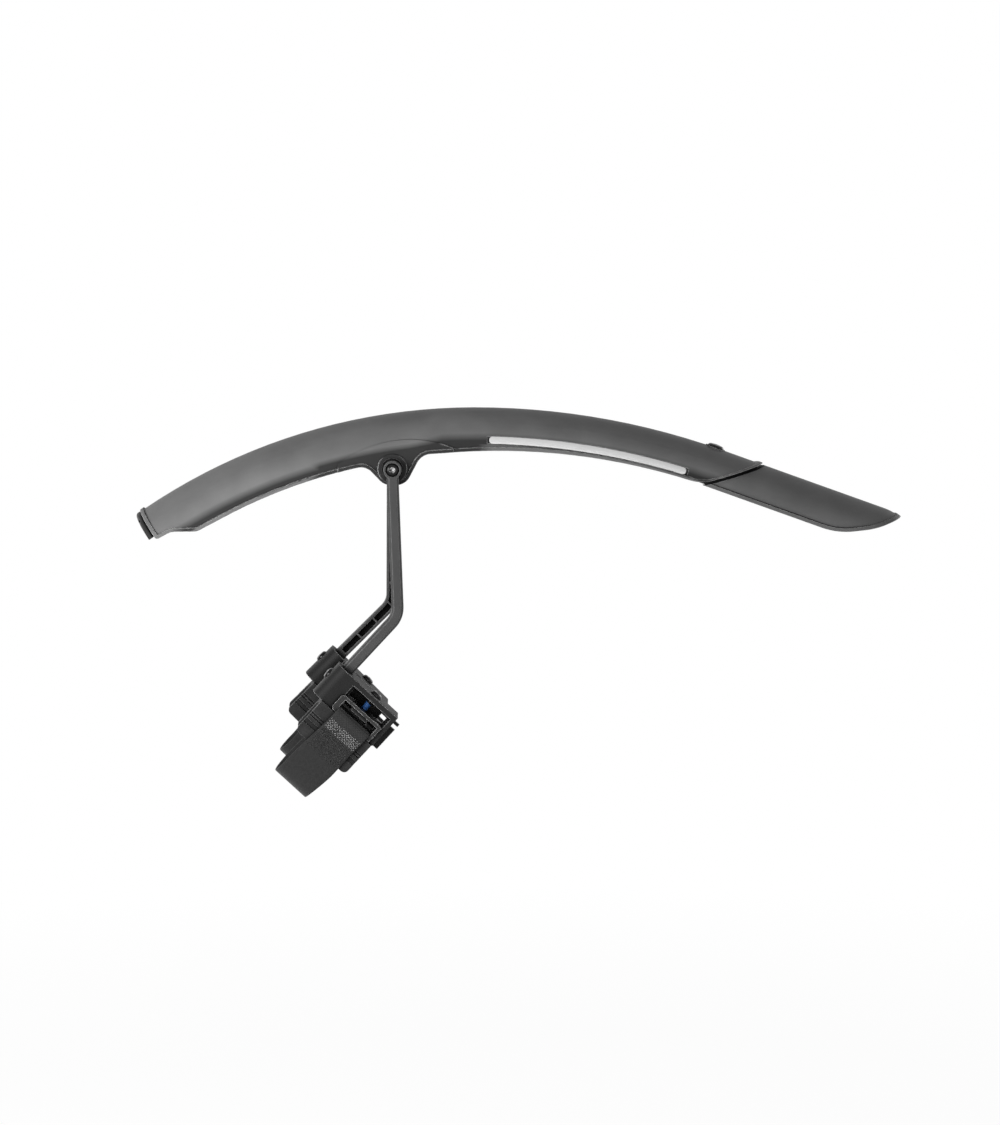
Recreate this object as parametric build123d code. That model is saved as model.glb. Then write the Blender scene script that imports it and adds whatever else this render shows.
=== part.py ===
from build123d import *
from math import atan2, cos, degrees, radians, sin, sqrt, tan
import os

os.makedirs("parts", exist_ok=True)

# Rear mudguard with two pivoting stays, strap clamps and a sliding tail flap.
# Millimetres and degrees. X runs to the rear of the bicycle, Z up, -Y is its left side.
# The pieces are drawn round the stay pivot axis and moved to the box centre at the end.

# Blade path along the crown, seen from the side
TOP_X = 49.6
TOP_Z = 34.5
FRONT_RADIUS = 357.0
REAR_RADIUS = 448.0
FRONT_ANGLE = 34.6
TAIL_ANGLE = 19.8
TAIL_REACH = 23.6

# Blade section
CROWN_RADIUS = 31.0
CROWN_HALF_ANGLE = 40.0
SHOULDER_RADIUS = 17.5
SHOULDER_END = 86.0
WALL = 1.8
SIDE_REACH = 31.0
FRONT_DEPTH = 17.7
FRONT_EDGE_DEPTH = 26.8
REAR_EDGE_DEPTH = 21.5
LIP_PROUD = 1.1
LIP_HEIGHT = 2.2
RIM_LIP = 1.0
RIM_ANGLE = 34.3
RIM_ROUND = 25.0

# Side lugs that carry the stays, with the crease that bounds their flat face
LUG_PROUD = 1.4
LUG_PLATE = 3.0
LUG_AHEAD = 73.5
LUG_BOTTOM = -9.9
LUG_CREASE = ((-33.0, 2.8), (-12.0, 13.8), (14.0, 17.5), (37.0, 12.3))
BOSS_RADIUS = 8.9
BOSS_PROUD = 1.0
NUT_BOSS_RADIUS = 6.2
NUT_BOSS_DEPTH = 3.6

# M4 screws and nuts, M5 knob
M4_RADIUS = 2.0
M4_HEAD_RADIUS = 3.8
M4_HEAD_HEIGHT = 2.3
M4_NUT_FLATS = 7.0
M4_NUT_HEIGHT = 3.2
M4_SQUARE_NUT = 7.0
M4_SQUARE_HEIGHT = 2.4
M4_KEY_FLATS = 2.5
M5_RADIUS = 2.5
M5_NUT_FLATS = 8.0
M5_NUT_HEIGHT = 4.0
KNOB_AT = -5.0
KNOB_RADIUS = 5.0
KNOB_HEIGHT = 1.7
KNOB_KEY_FLATS = 3.0
KNOB_SEAT_RADIUS = 6.2
KNOB_SEAT_PROUD = 0.3

# Clearances
RUNNING = 0.05
SCREW_CLEAR = 0.1
FIT_CLEAR = 0.1
SLIDE_CLEAR = 0.3
TONGUE_CLEAR = 0.5
FLAP_GAP = 1.9
CUT = 60.0

# Stays
WASHER_RADIUS = 6.6
WASHER_THICK = 0.8
EYE_RADIUS = 5.5
EYE_SINK = 1.5
STAY_WIDTH = 7.2
STAY_THICK = 7.0
STAY_WALL = 1.8
STAY_CHANNEL = 4.4
STAY_BEVEL = 1.3
STAY_LEAN = 2.1
BEND_RADIUS = 14.0
LEG_ANGLE = 42.8
RIB_PITCH = 13.6
RIB_THICK = 0.9
RIGHT_STAY_TURN = 2.4

# Clamp body, measured along the lower leg (u) and along the seat stay (v)
BODY_U = 108.3
BODY_V = 56.0
BODY_HIGH = 23.0
BODY_DEEP = 20.0
BODY_ROUND = 7.0
SOCKET_V = 6.9
SOCKET_DEPTH = 20.0
TENON_END_GAP = 0.5
TOP_BAR = 3.5
END_BAR = 3.0
WINDOW_V = 16.8
SOCKET_SCREW_U = 9.0
SOCKET_SCREW_LENGTH = 12.0
WINDOW_BEVEL = 1.6
BACK_WALL = 1.8
BACK_START = 10.4
BACK_LOW = 17.3
BACK_HOLE_LONG = 4.2
BACK_HOLE_LOW = 11.5
EAR_LONG = 5.5
EAR_TOP = 4.6
EAR_BOTTOM = 25.0
EAR_HOOK = 2.0
EAR_NOTCH = 2.3
EAR_NECK = 0.8

# Strap carrier and strap
STRAP_WIDTH = 25.0
STRAP_THICK = 1.3
STRAP_CENTRE_V = 30.2
LEFT_STRAP_END_U = 74.6
RIGHT_STRAP_END_U = 68.4
STRAP_TAIL = 3.8
STRAP_LAY = 0.15
CARRIER_TOP = 10.9
CARRIER_BAR = 2.0
CARRIER_BOTTOM = 22.4
CARRIER_LOW_BAR = 2.4
CARRIER_PROUD = 1.6
CARRIER_INNER = 7.0
CARRIER_TAB = 3.5
CARRIER_END = 2.2
CARRIER_BLOCK_LONG = 12.0
CARRIER_BLOCK_HIGH = 4.7
TENSION_SCREW_LENGTH = 16.5

# Rubber saddle that grips the seat stay
TUBE_RADIUS = 8.0
PAD_V = 7.2
PAD_LONG = 40.6
PAD_BASE = 2.8
PAD_END_U = 46.8
PAD_FLANK = 3.4
PAD_ROUND = 3.2
GROOVE_DEEP = 0.9

# Tail flap
FLAP_THICK = 1.6
FLAP_SINK = 0.05
FLAP_DEPTH = 21.9
FLAP_LENGTH = 117.2
FLAP_MID_BACK = 16.0
FLAP_MID_DEPTH = 12.0
FLAP_FOOT_BACK = 37.0
FLAP_FOOT_ROUND = 45.0
FLAP_END_ROUND = 60.0
TIP_BACK = 12.4
TIP_RADIUS = 34.0
TIP_TURN = 28.0
FLAP_TRAVEL = 20.0
FLAP_LIP_PROUD = 0.6
TONGUE_WALL = 2.4
TONGUE_DEPTH = 21.2
FLAP_JOIN = 5.0

# Front bumper and side reflectors
BUMPER_REACH = 4.0
BUMPER_SHORT = 2.2
BUMPER_PROUD = 0.25
BUMPER_THICK = 4.0
BUMPER_ROUND = 1.7
BUMPER_TONGUE = 9.0
BUMPER_NOTCH_AT = 27.5
BUMPER_NOTCH = 2.2
BUMPER_NOTCH_DEEP = 1.5
STRIP_START = 1.2
STRIP_END = 17.3
STRIP_TOP = 72.0
STRIP_BOTTOM = 85.8
STRIP_THICK = 0.55
STRIP_ROUND = 1.9

# Values that follow from the ones above
FRONT_Z = TOP_Z - FRONT_RADIUS
REAR_Z = TOP_Z - REAR_RADIUS
TAIL_COS = cos(radians(TAIL_ANGLE))
TAIL_SIN = sin(radians(TAIL_ANGLE))
TAIL_X = TOP_X + REAR_RADIUS * TAIL_SIN
TAIL_Z = REAR_Z + REAR_RADIUS * TAIL_COS
LEG_COS = cos(radians(LEG_ANGLE))
LEG_SIN = sin(radians(LEG_ANGLE))
BODY_LONG = STRAP_CENTRE_V + STRAP_WIDTH / 2 + CARRIER_END + 2 * SLIDE_CLEAR + END_BAR
HALF_WIDTH = (CROWN_RADIUS - SHOULDER_RADIUS) * sin(radians(CROWN_HALF_ANGLE)) + SHOULDER_RADIUS
LUG_FACE = HALF_WIDTH + LUG_PROUD
BOSS_FACE = LUG_FACE + BOSS_PROUD
STAY_IN = BOSS_FACE + WASHER_THICK
STAY_OUT = STAY_IN + STAY_THICK
STAY_MID = STAY_IN + STAY_THICK / 2
HEAD_SEAT = STAY_OUT - EYE_SINK
NUT_IN = LUG_FACE - LUG_PLATE - NUT_BOSS_DEPTH
CARRIER_OUT = BODY_DEEP / 2 + CARRIER_PROUD
STRAP_IN = CARRIER_OUT + STRAP_LAY
STRAP_OUT = STRAP_IN + STRAP_THICK
PAD_OUT = TUBE_RADIUS + PAD_FLANK
TUBE_U = BODY_HIGH + PAD_BASE + TUBE_RADIUS
TIP_START = FLAP_LENGTH - TIP_BACK
TONGUE_BACK = FLAP_TRAVEL - KNOB_AT + M5_RADIUS + SLIDE_CLEAR + TONGUE_WALL

SECTION = Plane((TOP_X, 0, TOP_Z), x_dir=(0, 1, 0), z_dir=(1, 0, 0))
FRONT_AXIS = Axis((TOP_X, 0, FRONT_Z), (0, -1, 0))
REAR_AXIS = Axis((TOP_X, 0, REAR_Z), (0, 1, 0))
TAIL = Plane((TAIL_X, 0, TAIL_Z), x_dir=(TAIL_COS, 0, -TAIL_SIN), z_dir=(TAIL_SIN, 0, TAIL_COS))
TAIL_DIR = (TAIL_COS, 0, -TAIL_SIN)
CLAMP = Plane((0, 0, 0), x_dir=(LEG_COS, 0, -LEG_SIN), z_dir=(LEG_SIN, 0, LEG_COS))


def front_at(angle, depth):
    """Point on the front arc, depth below the crown."""
    r = FRONT_RADIUS - depth
    return (TOP_X - r * sin(radians(angle)), FRONT_Z + r * cos(radians(angle)))


def front_below(ahead, depth):
    """Point on the front arc at a set distance ahead of the top."""
    r = FRONT_RADIUS - depth
    return (TOP_X - ahead, FRONT_Z + sqrt(r * r - ahead * ahead))


def rear_at(angle, depth):
    """Point on the rear arc, depth below the crown."""
    r = REAR_RADIUS - depth
    return (TOP_X + r * sin(radians(angle)), REAR_Z + r * cos(radians(angle)))


def tail_at(along, up):
    """Point on the straight tail, measured from its start on the crown."""
    x = TAIL_X + along * TAIL_COS + up * TAIL_SIN
    z = TAIL_Z - along * TAIL_SIN + up * TAIL_COS
    return (x, z)


def arch_points(off):
    """Corner points of half the blade section, off outside its outer skin."""
    a = radians(CROWN_HALF_ANGLE)
    b = radians(SHOULDER_END)
    m = (a + b) / 2
    gap = CROWN_RADIUS - SHOULDER_RADIUS
    cy = gap * sin(a)
    cz = gap * cos(a) - CROWN_RADIUS
    rc = CROWN_RADIUS + off
    rs = SHOULDER_RADIUS + off
    pa = (rc * sin(a), rc * cos(a) - CROWN_RADIUS)
    pm = (cy + rs * sin(m), cz + rs * cos(m))
    pb = (cy + rs * sin(b), cz + rs * cos(b))
    return pa, pm, pb


def arch_edges(off, depth):
    """Edges of the section from the right foot over the crown to the left foot."""
    pa, pm, pb = arch_points(off)
    b = radians(SHOULDER_END)
    run = (pb[1] + depth) / sin(b)
    pc = (pb[0] + run * cos(b), -depth)
    la = (-pa[0], pa[1])
    lm = (-pm[0], pm[1])
    lb = (-pb[0], pb[1])
    lc = (-pc[0], pc[1])
    edges = [
        Edge.make_line(pc, pb),
        Edge.make_three_point_arc(pb, pm, pa),
        Edge.make_three_point_arc(pa, (0, off), la),
        Edge.make_three_point_arc(la, lm, lb),
        Edge.make_line(lb, lc),
    ]
    return edges, pc, lc


def arch_cut(off, depth):
    """Section edges where the depth ends on the shoulder arc."""
    pa, pm, pb = arch_points(off)
    a = radians(CROWN_HALF_ANGLE)
    gap = CROWN_RADIUS - SHOULDER_RADIUS
    cy = gap * sin(a)
    cz = gap * cos(a) - CROWN_RADIUS
    rs = SHOULDER_RADIUS + off
    rise = -depth - cz
    pc = (cy + sqrt(rs * rs - rise * rise), -depth)
    end = atan2(pc[0] - cy, pc[1] - cz)
    m = (a + end) / 2
    pm = (cy + rs * sin(m), cz + rs * cos(m))
    la = (-pa[0], pa[1])
    lm = (-pm[0], pm[1])
    lc = (-pc[0], pc[1])
    edges = [
        Edge.make_three_point_arc(pc, pm, pa),
        Edge.make_three_point_arc(pa, (0, off), la),
        Edge.make_three_point_arc(la, lm, lc),
    ]
    return edges, pc, lc


def arch_face(outer, inner, depth):
    """Arched strip between two offsets of the blade's skin."""
    make = arch_edges if depth > 20 else arch_cut
    top, tr, tl = make(outer, depth)
    low, lr, ll = make(inner, depth)
    ends = [Edge.make_line(tl, ll), Edge.make_line(lr, tr)]
    return SECTION * Face(Wire(top + low + ends))


def front_shell(outer, inner):
    return revolve(arch_face(outer, inner, SIDE_REACH), FRONT_AXIS, FRONT_ANGLE + 2)


def rear_shell(outer, inner, start, tail):
    face = arch_face(outer, inner, SIDE_REACH).rotate(REAR_AXIS, start)
    arc = revolve(face, REAR_AXIS, TAIL_ANGLE - start)
    end = face.rotate(REAR_AXIS, TAIL_ANGLE - start)
    return arc + extrude(end, amount=tail, dir=TAIL_DIR)


def whole_shell(outer, inner):
    return front_shell(outer, inner) + rear_shell(outer, inner, 0, TAIL_REACH + 20)


def side_plate(face, y0, y1):
    """Side-view face given a thickness from y0 to y1."""
    plane = Plane((0, y1, 0), x_dir=(1, 0, 0), z_dir=(0, -1, 0))
    return extrude(plane * face, amount=y1 - y0)


def through(face):
    return side_plate(face, -CUT, CUT)


def rod_y(radius, y0, y1):
    """Cylinder round the pivot axis."""
    return Pos(0, (y0 + y1) / 2, 0) * Rot(90, 0, 0) * Cylinder(radius, y1 - y0)


def hex_y(flats, y0, y1):
    face = RegularPolygon(flats / 2, 6, major_radius=False)
    return side_plate(face, y0, y1)


def clamp_box(v0, v1, y0, y1, u0, u1):
    """Box in clamp axes, v along the seat stay, u down the leg, y from the stay's middle."""
    at = Pos(BODY_V + (v0 + v1) / 2, STAY_MID + (y0 + y1) / 2, -BODY_U - (u0 + u1) / 2)
    return at * Box(v1 - v0, y1 - y0, u1 - u0)


def rod_u(radius, v, u0, u1):
    """Cylinder down the leg in clamp axes."""
    return Pos(BODY_V + v, STAY_MID, -BODY_U - (u0 + u1) / 2) * Cylinder(radius, u1 - u0)


def rod_v(radius, u, v0, v1):
    """Cylinder along the seat stay in clamp axes."""
    at = Pos(BODY_V + (v0 + v1) / 2, STAY_MID, -BODY_U - u)
    return at * Rot(0, 90, 0) * Cylinder(radius, v1 - v0)


def button_screw(length):
    """M4 screw along -Z with a low head above Z = 0 and a hexagon recess."""
    shank = Pos(0, 0, -length / 2) * Cylinder(M4_RADIUS, length)
    shank = chamfer(shank.edges().sort_by(Axis.Z)[0], 0.4)
    head = Pos(0, 0, M4_HEAD_HEIGHT / 2) * Cylinder(M4_HEAD_RADIUS, M4_HEAD_HEIGHT)
    head = chamfer(head.edges().sort_by(Axis.Z)[-1], 1.0, 1.4)
    recess = extrude(RegularPolygon(M4_KEY_FLATS / 2, 6, major_radius=False), amount=-1.4)
    return shank + head - Pos(0, 0, M4_HEAD_HEIGHT) * recess


# Side outline of the blade, open above the crown
front_foot = front_at(FRONT_ANGLE, FRONT_DEPTH)
notch_end = front_at(FRONT_ANGLE - 6.5, FRONT_EDGE_DEPTH + 0.3)
notch = FilletPolyline(
    front_at(FRONT_ANGLE, -12),
    front_foot,
    (front_foot[0] + 9.0, front_foot[1] + 4.9),
    (front_foot[0] + 24.8, front_foot[1] + 5.1),
    notch_end,
    radius=[2.0, 10.0, 7.0],
)
lug_start = front_below(LUG_AHEAD, FRONT_EDGE_DEPTH - 0.5)
front_edge = ThreePointArc(notch_end, front_at(20, FRONT_EDGE_DEPTH - 0.2), lug_start)
lug_end = (TOP_X - 15.6, TOP_Z - REAR_EDGE_DEPTH - 3.4)
lug_edge = FilletPolyline(
    lug_start,
    (lug_start[0] + 7.8, lug_start[1] + 1.8),
    (-5.0, LUG_BOTTOM),
    (7.9, LUG_BOTTOM),
    (17.6, lug_end[1] - 1.0),
    lug_end,
    radius=[9.0, 9.0, 9.0, 10.0],
)
rear_edge_end = rear_at(TAIL_ANGLE - 2.8, REAR_EDGE_DEPTH)
rear_edge = ThreePointArc(lug_end, rear_at(9, REAR_EDGE_DEPTH + 0.7), rear_edge_end)
rim_foot = TAIL_REACH - REAR_EDGE_DEPTH / tan(radians(RIM_ANGLE))
rim_head = TAIL_REACH + 10 / tan(radians(RIM_ANGLE))
rim_edge = FilletPolyline(
    rear_edge_end,
    tail_at(rim_foot, -REAR_EDGE_DEPTH),
    tail_at(rim_head, 10),
    radius=[RIM_ROUND],
)
cover = Polyline(
    tail_at(rim_head, 10),
    (TAIL_X, TOP_Z + SIDE_REACH),
    (TOP_X - FRONT_RADIUS / 3, TOP_Z + SIDE_REACH),
    front_at(FRONT_ANGLE, -12),
)
outline = make_face([notch, front_edge, lug_edge, rear_edge, rim_edge, cover])
inside = offset(outline, -LIP_HEIGHT)
# the lip is narrower along the slanted rim than along the lower edges
rim_shift = (LIP_HEIGHT - RIM_LIP) / sin(radians(RIM_ANGLE))
rim_zone = make_face(Polyline(
    rear_edge_end,
    (rear_edge_end[0], TOP_Z + SIDE_REACH),
    (TAIL_X + 3 * SIDE_REACH, TOP_Z + SIDE_REACH),
    (TAIL_X + 3 * SIDE_REACH, rear_edge_end[1] - SIDE_REACH),
    (rear_edge_end[0], rear_edge_end[1] - SIDE_REACH),
    rear_edge_end,
))
inside += Pos(rim_shift * TAIL_COS, -rim_shift * TAIL_SIN) * inside & rim_zone
border = outline - inside

# Flat area of the lug below its crease
crease_start = LUG_CREASE[0]
crease_end = LUG_CREASE[-1]
lug_zone = make_face([
    Spline(*LUG_CREASE),
    Polyline(
        crease_end,
        (crease_end[0], 2 * LUG_BOTTOM),
        (crease_start[0], 2 * LUG_BOTTOM),
        crease_start,
    ),
])

# Blade
blade = whole_shell(0, -WALL) & through(outline)
blade += whole_shell(LIP_PROUD, -WALL / 2) & through(border)
lug_face = outline & lug_zone
lug = side_plate(lug_face, LUG_FACE - LUG_PLATE, LUG_FACE)
lug += side_plate(border & lug_zone, LUG_FACE - 1, LUG_FACE + 0.8)
lug += rod_y(BOSS_RADIUS, LUG_FACE - 1, BOSS_FACE)
lug += rod_y(NUT_BOSS_RADIUS, NUT_IN, LUG_FACE - 1)
lug -= rod_y(M4_RADIUS + SCREW_CLEAR, 0, CUT)
lug -= hex_y(M4_NUT_FLATS + 2 * FIT_CLEAR, NUT_IN - 1, NUT_IN + M4_NUT_HEIGHT)
blade += lug
blade += mirror(lug, Plane.XZ)
blade -= rod_y(M4_RADIUS + SCREW_CLEAR, -CUT, CUT)

# Seat and hole for the flap knob
blade += TAIL * (Pos(KNOB_AT, 0, (KNOB_SEAT_PROUD - WALL / 2) / 2)
                 * Cylinder(KNOB_SEAT_RADIUS, KNOB_SEAT_PROUD + WALL / 2))
blade -= TAIL * (Pos(KNOB_AT, 0, 0) * Cylinder(M5_RADIUS + SCREW_CLEAR, 20))

# Reflective strips in shallow recesses, one each side
def strip_face(out, inn, grow):
    """Band on the lower shoulder of the section."""
    a = radians(CROWN_HALF_ANGLE)
    gap = CROWN_RADIUS - SHOULDER_RADIUS
    cy = gap * sin(a)
    cz = gap * cos(a) - CROWN_RADIUS
    step = degrees(grow / SHOULDER_RADIUS)
    t0 = radians(STRIP_TOP - step)
    t1 = radians(STRIP_BOTTOM + step)
    tm = (t0 + t1) / 2
    ro = SHOULDER_RADIUS + out
    ri = SHOULDER_RADIUS + inn
    p = [(cy + r * sin(t), cz + r * cos(t)) for r in (ro, ri) for t in (t0, tm, t1)]
    wire = Wire([
        Edge.make_three_point_arc(p[0], p[1], p[2]),
        Edge.make_line(p[2], p[5]),
        Edge.make_three_point_arc(p[5], p[4], p[3]),
        Edge.make_line(p[3], p[0]),
    ])
    return SECTION * Face(wire)


def strip_solid(out, inn, grow, longer):
    step = degrees(longer / REAR_RADIUS)
    face = strip_face(out, inn, grow).rotate(REAR_AXIS, STRIP_START - step)
    return revolve(face, REAR_AXIS, STRIP_END - STRIP_START + 2 * step)


recess = strip_solid(LIP_PROUD + 0.5, -STRIP_THICK - RUNNING, FIT_CLEAR, 1.2)
blade -= recess
blade -= mirror(recess, Plane.XZ)
strip_right = strip_solid(0, -STRIP_THICK, 0, 0)
corners = [e for e in strip_right.edges() if e.length < 2 * STRIP_THICK]
strip_right = fillet(corners, STRIP_ROUND)

# Rubber bumper on the front end
def bumper_part(outer, inner, start, end):
    face = arch_face(outer, inner, FRONT_DEPTH - BUMPER_SHORT).rotate(FRONT_AXIS, start)
    return revolve(face, FRONT_AXIS, end - start)


bumper_end = FRONT_ANGLE + degrees(BUMPER_REACH / FRONT_RADIUS)
tongue_start = FRONT_ANGLE - degrees(BUMPER_TONGUE / FRONT_RADIUS)
front_bumper = bumper_part(BUMPER_PROUD, BUMPER_PROUD - BUMPER_THICK, FRONT_ANGLE, bumper_end)
nose = front_bumper.faces().sort_by(Axis.X)[0]
front_bumper = fillet([e for e in nose.edges() if e.length > BUMPER_THICK + 1], BUMPER_ROUND)
front_bumper += bumper_part(-WALL - 0.02, BUMPER_PROUD - BUMPER_THICK, tongue_start, bumper_end)
notch_start = bumper_end - degrees(BUMPER_NOTCH_DEEP / FRONT_RADIUS)
for sign in (-1, 1):
    turn = radians(BUMPER_NOTCH_AT)
    spot = Pos(sign * CROWN_RADIUS * sin(turn), CROWN_RADIUS * (cos(turn) - 1))
    cut = spot * Rot(0, 0, -sign * BUMPER_NOTCH_AT) * Rectangle(BUMPER_NOTCH, 14)
    cut = (SECTION * cut).rotate(FRONT_AXIS, notch_start)
    front_bumper -= revolve(cut, FRONT_AXIS, 2)

# Tail flap with a joggled tongue that slides inside the blade
flap_slope = FLAP_MID_DEPTH / FLAP_MID_BACK
flap_head = FLAP_LENGTH + 10 / flap_slope
flap_edge = FilletPolyline(
    tail_at(-8, 10),
    tail_at(-8, -FLAP_DEPTH),
    tail_at(FLAP_LENGTH - FLAP_FOOT_BACK, -FLAP_DEPTH),
    tail_at(FLAP_LENGTH - FLAP_MID_BACK, -FLAP_MID_DEPTH),
    tail_at(flap_head, 10),
    radius=[0, FLAP_FOOT_ROUND, FLAP_END_ROUND],
)
flap_area = make_face([flap_edge, Line(tail_at(flap_head, 10), tail_at(-8, 10))])
near_rim = offset(outline, FLAP_GAP)
join_zone = offset(outline, FLAP_GAP + FLAP_JOIN)
shown = flap_area - near_rim
joined = shown & join_zone
tongue_area = make_face(Polyline(
    tail_at(-TONGUE_BACK, 10),
    tail_at(-TONGUE_BACK, -TONGUE_DEPTH),
    tail_at(TAIL_REACH + 10, -TONGUE_DEPTH),
    tail_at(TAIL_REACH + 25, 10),
    tail_at(-TONGUE_BACK, 10),
))
tongue_area = tongue_area & join_zone
flap_start = TAIL_ANGLE - degrees((TONGUE_BACK + 4) / REAR_RADIUS)
tongue_out = -WALL - TONGUE_CLEAR
tongue_in = tongue_out - FLAP_THICK
tip_place = tail_at(TIP_START, -TIP_RADIUS)
TIP_AXIS = Axis((tip_place[0], 0, tip_place[1]), (0, 1, 0))


def flap_shell(outer, inner):
    """Shell of the flap, with its tip turned down a little."""
    shell = rear_shell(outer, inner, flap_start, TIP_START)
    end = arch_face(outer, inner, SIDE_REACH).rotate(REAR_AXIS, TAIL_ANGLE)
    end = Pos(TIP_START * TAIL_COS, 0, -TIP_START * TAIL_SIN) * end
    return shell + revolve(end, TIP_AXIS, TIP_TURN)


tail_flap = flap_shell(-FLAP_SINK, -FLAP_SINK - FLAP_THICK) & through(shown)
tail_flap += rear_shell(-FLAP_SINK, tongue_in, flap_start, TIP_START) & through(joined)
tail_flap += rear_shell(tongue_out, tongue_in, flap_start, TIP_START) & through(tongue_area)
flap_border = shown - offset(flap_area, -LIP_HEIGHT)
tail_flap += flap_shell(FLAP_LIP_PROUD, -FLAP_SINK - 1) & through(flap_border)
slot_width = 2 * (M5_RADIUS + SLIDE_CLEAR)
slot_long = FLAP_TRAVEL + slot_width
slot = extrude(SlotOverall(slot_long, slot_width), amount=15, both=True)
tail_flap -= TAIL * (Pos(KNOB_AT - FLAP_TRAVEL / 2, 0, 0) * slot)

# Knob and nut that lock the flap
knob_seat = Plane(TAIL.from_local_coords((KNOB_AT, 0, KNOB_SEAT_PROUD)), TAIL.x_dir, TAIL.z_dir)
dip = (FLAP_TRAVEL - KNOB_AT) ** 2 / (2 * REAR_RADIUS)
nut_corner = M5_NUT_FLATS / sqrt(3)
sag = nut_corner ** 2 / (2 * (CROWN_RADIUS + tongue_in))
nut_top = -tongue_in + dip + sag + SLIDE_CLEAR
knob_length = KNOB_SEAT_PROUD + nut_top + M5_NUT_HEIGHT + 1.0
head = Pos(0, 0, KNOB_HEIGHT / 2) * Cylinder(KNOB_RADIUS, KNOB_HEIGHT)
head = chamfer(head.edges().sort_by(Axis.Z)[-1], 0.9, 1.4)
shank = Pos(0, 0, -knob_length / 2) * Cylinder(M5_RADIUS, knob_length)
shank = chamfer(shank.edges().sort_by(Axis.Z)[0], 0.5)
key = extrude(RegularPolygon(KNOB_KEY_FLATS / 2, 6, major_radius=False), amount=-1.2)
flap_knob = knob_seat * (head + shank - Pos(0, 0, KNOB_HEIGHT) * key)
flap_nut = extrude(RegularPolygon(M5_NUT_FLATS / 2, 6, major_radius=False), amount=-M5_NUT_HEIGHT)
flap_nut -= Cylinder(M5_RADIUS + RUNNING, 20)
flap_nut = TAIL * (Pos(KNOB_AT, 0, -nut_top) * flap_nut)

# Stay, drawn on the right side
lean = radians(STAY_LEAN)
down = (sin(lean), -cos(lean))
leg = (-LEG_SIN, -LEG_COS)
tenon_u = BODY_U + SOCKET_DEPTH - TENON_END_GAP
leg_v = BODY_V + SOCKET_V
tenon = (-LEG_SIN * tenon_u + LEG_COS * leg_v, -LEG_COS * tenon_u - LEG_SIN * leg_v)
# the bend lies where the leaning upper leg meets the line of the lower leg
reach = (tenon[0] * down[1] - tenon[1] * down[0]) / (leg[0] * down[1] - leg[1] * down[0])
bend = (tenon[0] - reach * leg[0], tenon[1] - reach * leg[1])
upper_length = sqrt(bend[0] ** 2 + bend[1] ** 2)


def leg_face(half, start, stop):
    """Band of the bent stay, half wide to each side, cut short at both ends."""
    side1 = (-down[1], down[0])
    side2 = (-leg[1], leg[0])
    dot = side1[0] * side2[0] + side1[1] * side2[1]
    mid = ((side1[0] + side2[0]) / (1 + dot), (side1[1] + side2[1]) / (1 + dot))
    a = (down[0] * start, down[1] * start)
    c = (tenon[0] - leg[0] * stop, tenon[1] - leg[1] * stop)
    far = [
        (a[0] + side1[0] * half, a[1] + side1[1] * half),
        (bend[0] + mid[0] * half, bend[1] + mid[1] * half),
        (c[0] + side2[0] * half, c[1] + side2[1] * half),
    ]
    near = [
        (a[0] - side1[0] * half, a[1] - side1[1] * half),
        (bend[0] - mid[0] * half, bend[1] - mid[1] * half),
        (c[0] - side2[0] * half, c[1] - side2[1] * half),
    ]
    return make_face([
        FilletPolyline(*far, radius=BEND_RADIUS + half),
        Line(far[2], near[2]),
        FilletPolyline(near[2], near[1], near[0], radius=BEND_RADIUS - half),
        Line(near[0], far[0]),
    ])


stay_right = side_plate(leg_face(STAY_WIDTH / 2, 0, 0), STAY_IN, STAY_OUT)
long_edges = [e for e in stay_right.edges().group_by(Axis.Y)[-1] if e.length > STAY_WIDTH + 1]
stay_right = chamfer(long_edges, STAY_BEVEL)
stay_right += rod_y(EYE_RADIUS, STAY_IN, STAY_OUT)
mouth = SOCKET_DEPTH + 2.5
channel = side_plate(
    leg_face(STAY_WIDTH / 2 - STAY_WALL, EYE_RADIUS + 3, mouth), STAY_IN - 1, STAY_IN + STAY_CHANNEL)
rib_at = EYE_RADIUS + 3 + RIB_PITCH
while rib_at < upper_length - 8:
    spot = Pos(down[0] * rib_at, STAY_IN + 3, down[1] * rib_at) * Rot(0, -STAY_LEAN, 0)
    channel -= spot * Box(STAY_WIDTH, 12, RIB_THICK)
    rib_at += RIB_PITCH
rib_at = mouth + RIB_PITCH
while rib_at < reach - RIB_THICK:
    spot = Pos(tenon[0] - leg[0] * rib_at, STAY_IN + 3, tenon[1] - leg[1] * rib_at)
    channel -= spot * Rot(0, LEG_ANGLE, 0) * Box(STAY_WIDTH, 12, RIB_THICK)
    rib_at += RIB_PITCH
stay_right -= channel
stay_right -= rod_y(M4_RADIUS + RUNNING, 0, CUT)
stay_right -= rod_y(M4_HEAD_RADIUS + 0.4, HEAD_SEAT, CUT)
screw_bore = CLAMP * rod_v(M4_RADIUS + SCREW_CLEAR, SOCKET_SCREW_U, -2, 2 * SOCKET_SCREW_LENGTH)
stay_right -= screw_bore

# Pivot hardware
pivot_place = Plane((0, HEAD_SEAT, 0), x_dir=(1, 0, 0), z_dir=(0, 1, 0))
pivot_length = HEAD_SEAT - NUT_IN + 0.6
pivot_screw_right = pivot_place * button_screw(pivot_length)
pivot_washer_right = rod_y(WASHER_RADIUS, BOSS_FACE, STAY_IN)
pivot_washer_right -= rod_y(M4_RADIUS + SCREW_CLEAR, 0, CUT)
pivot_nut_right = hex_y(M4_NUT_FLATS, NUT_IN, NUT_IN + M4_NUT_HEIGHT)
pivot_nut_right -= rod_y(M4_RADIUS + RUNNING, 0, CUT)

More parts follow.
